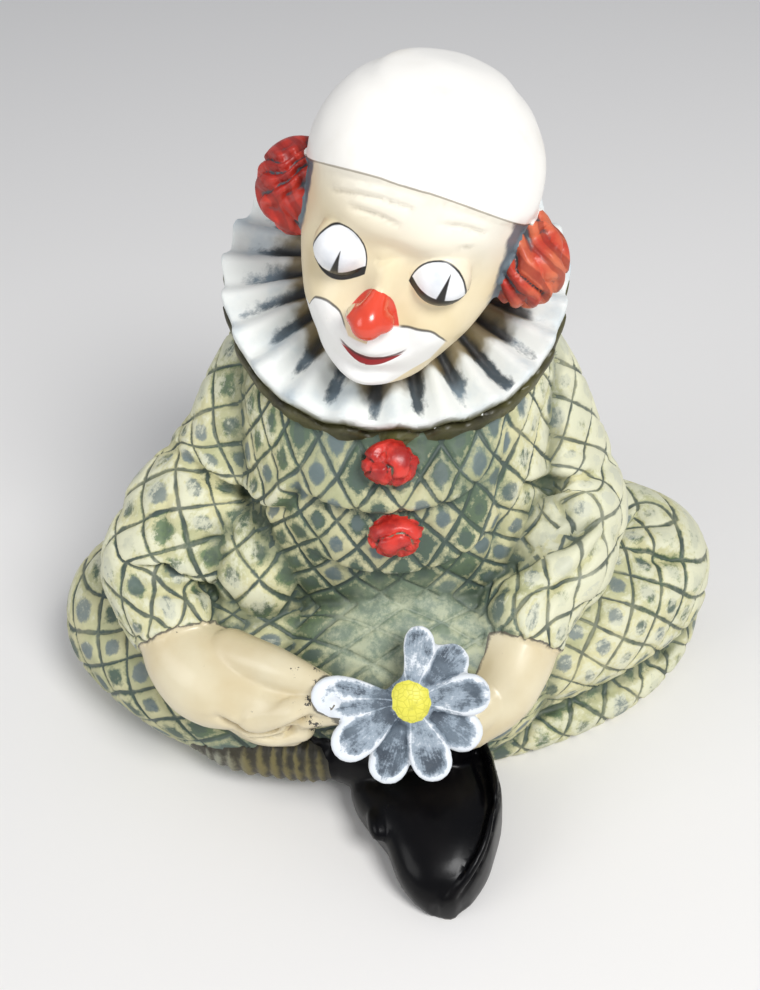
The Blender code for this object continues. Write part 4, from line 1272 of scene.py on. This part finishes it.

# %% [markdown]
# ### The suit
#
# Grey-green clay colour below, an ochre dry brush over it that is strongest along the cut lines, grey-blue
# dabs in the middle of the lozenges, and dark olive in the cuts. Painted light makes the brush paler on the
# arms and the clown's left knee, and painted shade makes the front and the right knee darker. The lozenge
# lines are read from the same cloth coordinates that carved them. An image of the pattern would need the
# whole figure unwrapped first.

# %% Where the lozenges, the worn places and the painted light and shade are
WORN_MIDDLE, WORN_RADII = (0.1, -4.1, 4.3), (2.6, 1.4, 1.3)


def lozenge_marks(p, streak):
    """A chance for each lozenge, and masks of the cuts, the ring inside them, the middle and the strokes."""
    u, v, _ = p.parts(p.add("ShaderNodeUVMap", {"uv_map": "cloth"}))
    rising, falling = u + v, u - v
    chance = p.add("ShaderNodeTexWhiteNoise", {"noise_dimensions": "2D"}, {
        "Vector": p.vector(rising.maths("FLOOR"), falling.maths("FLOOR"), 0.0)}, "Value")
    gap = rising.line_gap().at_most(falling.line_gap())
    shaky = gap + (p.noise(0.12, 3) - 0.5) * 0.09 + (p.noise(0.5, 3, seed=6) - 0.5) * 0.12
    cut = 1 - shaky.rise(0.03, 0.075)
    ring = shaky.rise(0.04, 0.10) * (1 - shaky.rise(0.14, 0.34))
    inwards = ((0.5 - rising.line_gap()) ** 2 + (0.5 - falling.line_gap()) ** 2) ** 0.5
    centre = 1 - (inwards + (streak - 0.5) * 0.35).rise(0.13, 0.38)
    stroke = p.noise(0.10, 5, p.vector(u, v * 0.22, chance * 0.3), rough=0.7, seed=8)
    return chance, cut, ring, centre, stroke


def painted_light_and_shade(p):
    """Masks of painted light on the arms and left knee, and of painted shade on the front and right knee;
    partly the brush's own unevenness.
    """
    x, y, z = p.parts(p.place)
    high = z.rise(2.8, 4.4) * (x.rise(-1.0, 1.0) * 0.7 + 0.5)
    light = (abs(x) - 1.8).rise(0.0, 1.6) * high.at_least(x.rise(0.5, 2.5) * 0.35)
    front = (1 - abs(x).rise(1.5, 2.6)) * (1 - y.rise(-2.0, -1.0))
    low = (1 - z.rise(1.0, 3.2)) * (1 - x.rise(-3.0, 0.5))
    return light, (front + low * 1.3).clamp()


def worn_lap(p, streak, patch):
    """A mask of the patch on the lap where the coat is rubbed pale."""
    inside = p.add("ShaderNodeMapping", {"vector_type": "TEXTURE"}, {
        "Vector": p.place, "Location": WORN_MIDDLE, "Scale": WORN_RADII})
    far = p.add("ShaderNodeVectorMath", {"operation": "LENGTH"}, {0: inside}, "Value")
    return (1 - (far + (patch - 0.5) * 0.8).rise(0.55, 1.0)) * (streak * 1.6 + 0.1).clamp()


# %% Suit paint
def paint_suit():
    p = Paint("suit")
    streak = p.noise(0.20, 6, rough=0.72, seed=1)
    patch = p.noise(1.6, 4, seed=2)
    dab = p.noise(0.06, 4, rough=0.75, seed=12)
    chance, cut, ring, centre, stroke = lozenge_marks(p, streak)
    # painted light and shade: paler on the arms and the clown's left knee, darker on the front and the right
    # knee
    light, painted_shade = painted_light_and_shade(p)
    ground = p.over(tint("71845c"), tint("506353"), (patch + painted_shade * 0.1).rise(0.38, 0.62))
    ground = p.over(ground, tint("87958b"), (chance + streak - 0.5).rise(0.55, 0.95) * 0.7)
    cream = p.over(tint("d8d3a6"), tint("b2b489"), p.noise(0.5, 5, seed=5).rise(0.35, 0.70))
    # the dry brush is heavier under painted light, and thinner under painted shade and in the hollows
    brushed = (streak + stroke * 0.5 + dab - 0.1 + ring * 0.26 - centre * 0.16 - p.fine * 0.12
               - p.broad * 0.14 + (patch - 0.5) * 1.2 + (chance - 0.5) * 0.25 + light * 0.24 - painted_shade * 0.22)
    colour = p.over(ground, p.over(ground, cream, 0.5), brushed.rise(1.04, 1.18))
    colour = p.over(colour, cream, brushed.rise(1.20, 1.38))
    # fewer grey-blue dabs under painted light
    spot = (centre + (dab - 0.5) * 1.2 + (p.noise(0.22, 5, rough=0.7, seed=9) - 0.5) * 1.2
            + (chance - 0.5) * 0.7 - light * 0.10)
    blue = p.over(tint("4f5f55"), tint("6b7a80"), (chance * 0.5 + patch).rise(0.6, 1.0))
    colour = p.over(colour, blue, spot.rise(0.42, 0.95) * 0.8)
    # the pale dry brush is also heavier under painted light and thinner under painted shade
    pale = (stroke * 0.7 + dab * 0.5 + p.noise(0.3, 5, rough=0.7, seed=4) * 0.8 - p.fine * 0.14
            - p.broad * 0.12 + light * 0.22 - painted_shade * 0.16)
    colour = p.over(colour, tint("e0e0c6"), pale.rise(1.16, 1.34) * 0.75)
    # dark olive in the hollows: a wash in the fine creases, and painted shade in the deeper hollows
    wash_and_shade = (p.fine * 0.30 + p.broad * 0.40 + p.noise(0.5, 4, seed=3) - 0.6).rise(0.1, 1.1)
    colour = p.over(colour, tint("38432f"), wash_and_shade * 0.9)
    # painted shade in the creases where the lumps of the suit meet, more in the deeper hollows; it also hides
    # where the lozenge pattern changes
    join = (1 - (p.seam + (streak - 0.5) * 0.4).rise(0.02, 0.26)) * (p.broad * 0.5 + 0.6).clamp()
    colour = p.over(colour, tint("4a5644"), join * 0.75)
    # painted shade: dark green-grey over the front and the clown's right knee
    colour = p.over(colour, tint("45544a"), painted_shade * (p.noise(0.5, 4, seed=13) - 0.15).clamp() * 0.6)
    line = p.over(tint("35423a"), tint("4b5a57"), p.noise(0.6, 3, seed=11))
    colour = p.over(colour, line, cut * (p.noise(0.35, 3, seed=7) * 1.3 + 0.15).clamp())
    rubbed = p.over(tint("8d9b88"), tint("b9bfa2"), streak.rise(0.42, 0.60))
    colour = p.over(colour, rubbed, worn_lap(p, streak, patch) * 0.85)
    p.finish(colour, 0.46 + streak * 0.2, streak - cut * 0.6, bump=0.4)


paint_suit()

# %% [markdown]
# ### Ruff, cap and face
#
# The ruff is white, brushed thickly over slate, so the slate stays in the valleys. Round the neck it is
# dark brown and black, a brown wash with painted shadow from the head over it, and its underside has
# painted shade. The cap is a warm white and the skin a paler cream, with painted light making the skin
# paler towards the top and the clown's left. The eyes, the white muzzle and the red lips are painted on the
# head's own coordinates, because they lie level there, as the painter saw them.

# %% Ruff and collar paints
def paint_ruff():
    p = Paint("ruff")
    x, y, z = p.parts(p.place)
    sx, sy = x - RUFF_MIDDLE[0], y - RUFF_MIDDLE[1]
    far = (sx * sx + sy * sy) ** 0.5
    speck = p.noise(0.25, 6, p.vector(sy.maths("ARCTAN2", sx) * 3.0, far * 0.7, z * 0.5), rough=0.7)
    patch = p.noise(1.1, 3, seed=3)
    wander = p.noise(0.6, 4, seed=9)
    slate = p.over(tint("72828d"), tint("3d484f"), p.noise(0.4, 4).rise(0.35, 0.65))
    white = p.over(tint("e8ebe7"), tint("c9d4d8"), p.noise(0.35, 4, seed=5).rise(0.45, 0.75))
    brushed = (speck * 1.5 - p.fine * 0.24 - p.broad * (wander * 1.6 - 0.50) + (patch - 0.5) * 1.6
               + (far - 2.9) * 0.34 + (0 - x).rise(0.0, 3.0) * 0.30)
    colour = p.over(slate, white, brushed.rise(0.40, 0.72))
    # round the neck: a brown wash with painted shadow from the head over it, reaching further at the front
    # and the clown's left
    reach = (far + (wander - 0.5) * 1.6 - p.fine * 0.06 - p.broad * 0.08
             - (x - y * 0.8).rise(-1.5, 1.5) * 0.35)
    hollow = (p.fine * 0.35 + p.broad * 0.35 + speck * 0.8 - 0.2).rise(0.0, 0.6)
    throat_wash_and_shadow = p.over(tint("7b6b45"), tint("14100b"), hollow)
    colour = p.over(colour, throat_wash_and_shadow, (1 - reach.rise(2.0, 2.35)) * 0.92)
    # painted shade: dark olive where the ruff's underside faces down
    _, _, up = p.parts(p.add("ShaderNodeNewGeometry", None, None, "Normal"))
    colour = p.over(colour, tint("54512f"), 1 - up.rise(-0.55, -0.15))
    p.finish(colour, 0.40 + speck * 0.2, speck, bump=0.3)


def paint_collar():
    p = Paint("collar")
    tone = p.noise(0.5, 5)
    # dark olive: the collar's own colour, darkened as painted shadow under the ruff
    p.finish(p.over(tint("57542f"), tint("2e2b18"), tone.rise(0.35, 0.7)), 0.45, tone, bump=0.2)


paint_ruff()
paint_collar()


# %% Cap paint
def cap_line(p):
    """A mask of the thin dark line along the cap's edge."""
    _, y, z = p.parts(p.head)
    behind = ((y - HEAD_DEEP[0]) / HEAD_DEEP[1]).at_least(-1).at_most(1) + 1
    over_edge = z - cap_edge(behind)
    return (1 - (abs(over_edge + 0.01) - p.noise(0.3, 3) * 0.02).rise(0.0, 0.015)) * 0.75


def paint_cap():
    p = Paint("cap")
    grime = p.noise(0.9, 5, rough=0.6)
    colour = p.over(tint("fbf8f1"), tint("f0eadd"), grime.rise(0.5, 0.8))
    colour = p.over(colour, tint("8a7f6c"), cap_line(p) * 0.8)
    p.finish(colour, 0.33 + grime * 0.12, p.noise(0.25, 3), bump=0.08, coat_weight=0.25, coat_roughness=0.25)


paint_cap()


# %% Where the marks of the face are
def nose_edge(p):
    """How far inside the outline of the red nose a point lies, seen from the front; below 0 outside it."""
    x, _, z = p.parts(p.head)
    half = ((RED_TOP[1] - z) / RED_TALL).clamp() ** 0.5 * (RED_HALF + 0.03) - z.above(RED_TOP[1] - 0.01) * 0.1
    return half - abs(x - RED_TOP[0]) + (p.noise(0.2, 3) - 0.5) * 0.03


def eye_marks(p):
    """Masks of the white lids, and of the black lines round, below and across them."""
    x, y, z = p.parts(p.head)
    front = 1 - y.rise(-1.0, -0.8)
    shaky = (p.noise(0.15, 2) - 0.5) * 0.03
    whites, blacks = [], []
    for middle, high, wide, tall, foot, lash, tilt, spike in EYES:
        e = (x - middle) / wide
        f = (z - high) / tall
        dome = (e * e + ((f + 0.25).at_least(0) / 1.25) ** 2) ** 0.5
        arc = e * e * 0.20 + e * tilt - z
        out = dome.at_least((arc + foot) * 2 + 1) + shaky
        inside = (1 - out.rise(0.99, 1.02)) * front
        line = (1 - (abs(out - 1) - 0.008).rise(0.0, 0.03)) * front
        band = inside * (arc - e * e * 0.08 + lash + shaky * 0.5).rise(-0.01, 0.01)
        slope = abs(x - spike - (z - lash) * 0.10) - (0.07 - (z - lash) * 0.14)
        mark = (1 - slope.rise(-0.01, 0.015)) * (1 - (z - lash).rise(0.46, 0.50)) * inside
        whites.append(inside)
        blacks.append(line.at_least(band).at_least(mark))
    return whites[0].at_least(whites[1]), blacks[0].at_least(blacks[1])


def muzzle_marks(p):
    """Masks of the white muzzle and of the thin line over it."""
    x, y, z = p.parts(p.head)
    side, front = abs(x), 1 - y.rise(-1.2, -0.9)
    lobe = (-1.59 - (x + 0.88) ** 2 * 1.3 - (-1.1 - x).at_least(0) ** 2 * 15).at_least(-1.95)
    cheek = -1.57 - (side - 0.9).at_least(0) ** 2 * 2.0
    top = lobe + (cheek - lobe) * x.above(0.0) + (p.noise(0.3, 3) - 0.5) * 0.06
    edge = (1.24 - (-1.85 - z).at_least(0) * 0.4 - (-2.27 - z).at_least(0) * 0.6).at_least(0.4)
    muzzle = (top - z).rise(-0.02, 0.02) * (1 - (x - edge).rise(-0.03, 0.03))
    line = (1 - (abs(top - z) - 0.008).rise(0.0, 0.028)) * side.rise(0.40, 0.50) * (1 - side.rise(1.2, 1.3))
    return muzzle * front, line * front


def mouth_marks(p):
    """Masks of the red lips and of the dark parting between them."""
    x, y, z = p.parts(p.head)
    front = 1 - y.rise(-1.2, -0.9)
    over_mouth = z - smile(x)
    lips = 1 - (abs(over_mouth + 0.045) - (0.07 - (x - 0.08) ** 2 * 0.28)).rise(0.0, 0.02)
    parting = (1 - (abs(over_mouth) - 0.012).rise(0.0, 0.025)) * (1 - abs(x - 0.08).rise(0.50, 0.60))
    return lips * front, parting * front


# %% Face and lid paint
def paint_face(name):
    p = Paint(name)
    x, y, z = p.parts(p.head)
    tone = p.noise(0.7, 4)
    colour = p.over(tint("ecddb9"), tint("dfcca0"), tone.rise(0.35, 0.75))
    # painted light: the skin turns paler towards the top of the head and the clown's left, where the light
    # falls
    colour = p.over(colour, tint("f7f2e4"), (z + x * 0.25 + tone * 0.4).rise(-0.5, 0.9) * 0.9)
    # brown in the creases: a wash, with a little painted shade from the deeper hollows
    colour = p.over(colour, tint("a08658"), (p.fine * 0.4 + p.broad * 0.1).rise(0.5, 1.6) * 0.8)
    muzzle, line = muzzle_marks(p)
    # painted shade: the white muzzle turns blue-grey in its hollows
    hollow = (p.fine * 0.3 + p.broad * 0.3 + tone - 0.5).rise(0.2, 1.2)
    colour = p.over(colour, p.over(tint("f4f3ef"), tint("c9ced6"), hollow), muzzle)
    lips, parting = mouth_marks(p)
    colour = p.over(colour, p.over(tint("c3211f"), tint("8e1518"), tone.rise(0.4, 0.6)), lips)
    colour = p.over(colour, tint("4a1512"), parting * 0.85)
    colour = p.over(colour, tint("16130f"), line * 0.85)
    white, black = eye_marks(p)
    colour = p.over(colour, p.over(tint("f6f7f8"), tint("cdd3da"), p.noise(0.3, 4).rise(0.45, 0.8)), white)
    colour = p.over(colour, tint("16130f"), black)
    red = nose_edge(p).rise(-0.008, 0.008) * (z + 1.6).rise(0.0, 0.06) * (1 - y.rise(-1.95, -1.85))
    colour = p.over(colour, tint("d63f29"), red)
    slate = (abs(x) + (p.noise(0.2, 4) - 0.5) * 0.2).rise(1.70, 1.78) * y.rise(-1.35, -1.1)
    colour = p.over(colour, tint("66737b"), slate)
    colour = p.over(colour, tint("6d5f49"), cap_line(p) * 0.85)
    p.finish(colour, 0.36 + tone * 0.1, p.noise(0.2, 3), bump=0.1, coat_weight=0.2, coat_roughness=0.3)


for name in ("face", "lids"):
    paint_face(name)

# %% [markdown]
# ### Reds, hands and daisy
#
# The nose is a glossy red with chips at its tip. The hair and the buttons are a red dry brush over slate,
# so the slate stays in the furrows; the hair also has painted light, more orange towards the clown's left,
# and painted shade, near black in its deepest hollows. The hands are a cream gloss with brown in the
# creases, partly a wash and partly painted shade between the fingers, and the petals are slate with a white
# brush on their rims and painted shade in their hollows. The petals' rule is used again here, so the paint
# knows how near the rim of a petal each point lies.

# %% Nose, hair and button paints
def paint_nose():
    p = Paint("nose")
    tone = p.noise(0.3, 4)
    colour = p.over(tint("e2492f"), tint("c2331f"), tone.rise(0.4, 0.8))
    _, _, z = p.parts(p.head)
    chip = (p.noise(0.10, 4, rough=0.7) * 2.4 - 0.78 - (z + 1.66).at_least(0) * 6).rise(0.45, 0.55)
    colour = p.over(colour, tint("dccab0"), chip)
    fringe = (1 - nose_edge(p).rise(-0.008, 0.008)) * (z + 1.5).rise(0.0, 0.06)
    colour = p.over(colour, tint("e8d6b0"), fringe)
    p.finish(colour, 0.24 + chip * 0.3, tone - chip, bump=0.2, coat_weight=0.5, coat_roughness=0.15)


def paint_hair():
    p = Paint("hair")
    x, _, _ = p.parts(p.place)
    strand = p.add("ShaderNodeTexWave", {"bands_direction": "DIAGONAL"}, {
        "Vector": p.head, "Scale": 1.1, "Distortion": 9.0, "Detail": 3.0, "Detail Scale": 0.55}, "Fac")
    under = p.over(tint("5b646b"), tint("2a2322"), p.noise(0.3, 3))
    red = p.over(tint("cf3b2a"), tint("a1241b"), p.noise(0.25, 4).rise(0.35, 0.7))
    # painted light: lighter orange, more towards the clown's left where the light falls
    red = p.over(red, tint("de7b54"), (p.noise(0.5, 4, seed=3) + x * 0.06 - 0.10).rise(0.42, 0.62) * 0.8)
    worn = (p.noise(0.12, 5, rough=0.7) - 0.5) * 0.8 + strand * 0.3 - 0.15
    furrow = (p.fine * 0.55 + p.broad * 0.20 - worn).rise(0.18, 0.62)
    colour = p.over(p.over(red, tint("7d1a14"), (0.5 - strand).rise(0.0, 0.35) * 0.6), under, furrow)
    # near black in the deepest hollows: a wash with painted shade over it
    colour = p.over(colour, tint("16100e"), (p.fine * 0.4 + p.broad * 0.4).rise(0.9, 1.7) * 0.9)
    p.finish(colour, 0.42, strand + p.noise(0.08, 4) * 0.3, bump=0.6, reach=0.0007)


def paint_buttons():
    p = Paint("buttons")
    furrow = (p.fine * 0.50 + p.broad * 0.05 + (p.noise(0.12, 5, rough=0.7) - 0.5) * 2.4).rise(0.15, 0.60)
    under = p.over(tint("7d8068"), tint("2b1a14"), p.noise(0.16, 3).rise(0.35, 0.6))
    red = p.over(tint("d93a2e"), tint("a01c18"), p.noise(0.16, 4).rise(0.38, 0.65))
    p.finish(p.over(red, under, furrow), 0.38, p.noise(0.12, 5) - furrow * 0.4, bump=0.6,
             coat_weight=0.15, coat_roughness=0.25)


paint_nose()
paint_hair()
paint_buttons()


# %% Hand and daisy paints
def paint_hands():
    p = Paint("hands")
    tone = p.noise(0.8, 4)
    colour = p.over(tint("e0d5b5"), tint("d1bf96"), tone.rise(0.3, 0.75))
    # brown in the creases: a wash, and painted shade between the fingers
    colour = p.over(colour, tint("8a4f1c"), (p.fine * 0.45 + p.broad * 0.1).rise(0.5, 1.4) * 0.85)
    flake = p.noise(0.14, 5, rough=0.75, seed=4)
    x, _, _ = p.parts(p.place)
    held = x.rise(-2.6, -1.9) * (1 - x.rise(-0.5, 0.3))
    edge = 1 - (p.rim + (flake - 0.5) * 0.20 - held * 0.06).rise(0.02, 0.08)
    colour = p.over(colour, p.over(tint("66645c"), tint("3c3a36"), tone), edge * 0.9)
    chip = (flake + held * 0.07).rise(0.665, 0.685)
    colour = p.over(colour, tint("4b4840"), chip)
    p.finish(colour, 0.34 + chip * 0.3 + edge * 0.2, tone - chip * 0.5, bump=0.15,
             coat_weight=0.2, coat_roughness=0.25)


def paint_petals():
    p = Paint("petals")
    turn = Matrix(flower_frame()).to_euler()
    fx, fy, _ = p.parts(p.add("ShaderNodeMapping", {"vector_type": "TEXTURE"}, {
        "Vector": p.place, "Location": tuple(FLOWER_MIDDLE), "Rotation": tuple(turn)}))
    far = (fx * fx + fy * fy) ** 0.5
    sector = ((fy.maths("ARCTAN2", fx) - FIRST_PETAL) / PETAL_STEP).line_gap()
    aside = far * (sector * PETAL_STEP).sin()
    along = ((far - PETAL_START) / (PETAL_LENGTH - PETAL_START)).clamp()
    half = (along * (1 - along) * 4 + 0.02) ** 0.5 * spread(along) * PETAL_WIDTH
    rim = (aside / half).rise(0.55, 1.0)
    slate = p.over(tint("6c7a86"), tint("38434f"), p.noise(0.3, 4).rise(0.3, 0.7))
    speck = p.noise(0.09, 6, rough=0.8)
    smear = p.noise(0.30, 6, rough=0.7, seed=2)
    stroke = p.noise(0.10, 5, p.vector(far * 0.3, sector * 3.0, 0.0), rough=0.7, seed=4)
    brush = speck * 0.9 + smear * 1.1 + stroke * 0.5 + rim * 0.30 - p.fine * 0.14 - p.broad * 0.10
    colour = p.over(slate, tint("a3b1be"), brush.rise(1.12, 1.32) * 0.8)
    colour = p.over(colour, tint("e4e9ee"), brush.rise(1.34, 1.54))
    # dark slate in the hollows: a wash, and painted shade in the deeper hollows
    sunk = (p.fine * 0.5 + p.broad * 0.35 + smear - 0.5).rise(0.4, 1.3)
    p.finish(p.over(colour, tint("313a44"), sunk * 0.85), 0.5, brush.rise(0.9, 1.6), bump=0.5)


def paint_flower_eye():
    p = Paint("flower_eye")
    grid = p.add("ShaderNodeTexVoronoi", {"feature": "DISTANCE_TO_EDGE"}, {
        "Vector": p.place, "Scale": 8.0}, "Distance")
    wear = p.noise(0.15, 4)
    colour = p.over(tint("d0ca45"), tint("e6df55"), (grid + (wear - 0.5) * 0.2).rise(-0.02, 0.12))
    p.finish(p.over(colour, tint("a5a446"), wear.rise(0.55, 0.72) * 0.7), 0.45, grid.at_most(0.15), bump=0.6)


paint_hands()
paint_petals()
paint_flower_eye()

# %% [markdown]
# ### Shoe, hem and underside
#
# The shoe is a glossy brown-black, with brown scuffs that are partly a painted sheen on its crests. The
# ribbed trouser hem is olive-brown with a paler brush on the ribs, darkened as painted shadow under the
# hand; the brush turns pale grey at its far end as a painted highlight, and its hollows have painted shade.
# The underside is bare resin that has worn on the shelf.

# %% Shoe, hem and underside paints
def paint_shoe():
    p = Paint("shoe")
    tone = p.noise(0.6, 5)
    colour = p.over(tint("050507"), tint("0c0a0b"), tone.rise(0.4, 0.75))
    # brown scuffs, partly a painted sheen on the crests
    scuff_and_sheen = (p.noise(0.1, 5, rough=0.7) * 1.2 - p.fine * 0.25).rise(1.05, 1.3) * 0.6
    p.finish(p.over(colour, tint("5c4c3d"), scuff_and_sheen), 0.22 + tone * 0.14, p.noise(0.2, 4), bump=0.12,
             shine=0.14, coat_weight=0.05, coat_roughness=0.15)


def paint_hem():
    p = Paint("hem")
    x, _, _ = p.parts(p.place)
    # dark olive-brown, darkened as painted shadow under the hand
    low = p.over(tint("3f3822"), tint("292a24"), p.noise(0.8, 3))
    brush = (p.noise(0.15, 5, rough=0.7) * 1.2 - p.fine * 0.45 - p.broad * 0.20).rise(0.75, 1.25)
    # painted highlight: the brush on the ribs turns pale grey at the far end
    colour = p.over(low, p.over(tint("70673f"), tint("8f907f"), (1 - x.rise(-4.2, -3.4))), brush)
    # painted shade in the hollows, over a dark wash
    colour = p.over(colour, tint("1c1812"), (p.fine * 0.4 + p.broad * 0.35).rise(0.3, 1.2) * 0.9)
    p.finish(colour, 0.5, p.noise(0.1, 4), bump=0.3)


def paint_base():
    p = Paint("base")
    worn = p.noise(0.8, 5)
    p.finish(p.over(tint("8b8474"), tint("6b6455"), worn.rise(0.35, 0.7)), 0.7, worn, bump=0.2)


paint_shoe()
paint_hem()
paint_base()

# %% [markdown]
# ## Studio
#
# A pale floor, a large soft light from the front right, a weaker one from the left and a bright surround.
# The camera looks down at the figure as the photograph does, turned a little to one side.

# %% Floor and lights
def soft_light(name, place, target, size, power):
    lamp = bpy.data.lights.new(name, "AREA")
    lamp.shape, lamp.size, lamp.energy = "DISK", size, power
    item = bpy.data.objects.new(name, lamp)
    item.location = place
    item.rotation_euler = (Vector(target) - Vector(place)).to_track_quat("-Z", "Y").to_euler()
    bpy.context.scene.collection.objects.link(item)


floor = mesh_object("floor", np.array([(-3, -3, 0), (3, -3, 0), (3, 3, 0), (-3, 3, 0)], float),
                    np.array([(0, 1, 2), (0, 2, 3)]))
pale = bpy.data.materials.new("pale_floor")
pale.use_nodes = True
pale.node_tree.nodes["Principled BSDF"].inputs["Base Color"].default_value = tint("efedea")
pale.node_tree.nodes["Principled BSDF"].inputs["Roughness"].default_value = 0.6
floor.data.materials.append(pale)

soft_light("key", (0.34, -0.50, 0.75), (0, 0, 0.07), 0.36, 6.6)
soft_light("fill", (-0.65, -0.35, 0.45), (0, 0, 0.07), 0.5, 1.6)
surround = bpy.data.worlds.new("surround")
surround.use_nodes = True
surround.node_tree.nodes["Background"].inputs["Color"].default_value = (0.9, 0.93, 1.0, 1.0)
surround.node_tree.nodes["Background"].inputs["Strength"].default_value = 0.40
bpy.context.scene.world = surround
bpy.context.scene.view_settings.view_transform = "Standard"

# %% Camera
CAMERA_AT = Vector((np.array([-0.37, -20.9, 22.2]) + SHIFT) * CM)
DOWN, TWIST = math.radians(40), math.radians(3)
forward = Vector((0, math.cos(DOWN), -math.sin(DOWN)))
level = Vector((1, 0, 0))
above = level.cross(forward)
right = math.cos(TWIST) * level - math.sin(TWIST) * above
upward = math.sin(TWIST) * level + math.cos(TWIST) * above
eye = bpy.data.cameras.new("camera")
eye.sensor_width, eye.lens, eye.clip_start = 36.0, 44.65, 0.01
camera = bpy.data.objects.new("camera", eye)
camera.matrix_world = Matrix((right, upward, -forward)).transposed().to_4x4()
camera.location = CAMERA_AT
bpy.context.scene.collection.objects.link(camera)
bpy.context.scene.camera = camera
print("camera at", [round(v, 3) for v in CAMERA_AT])
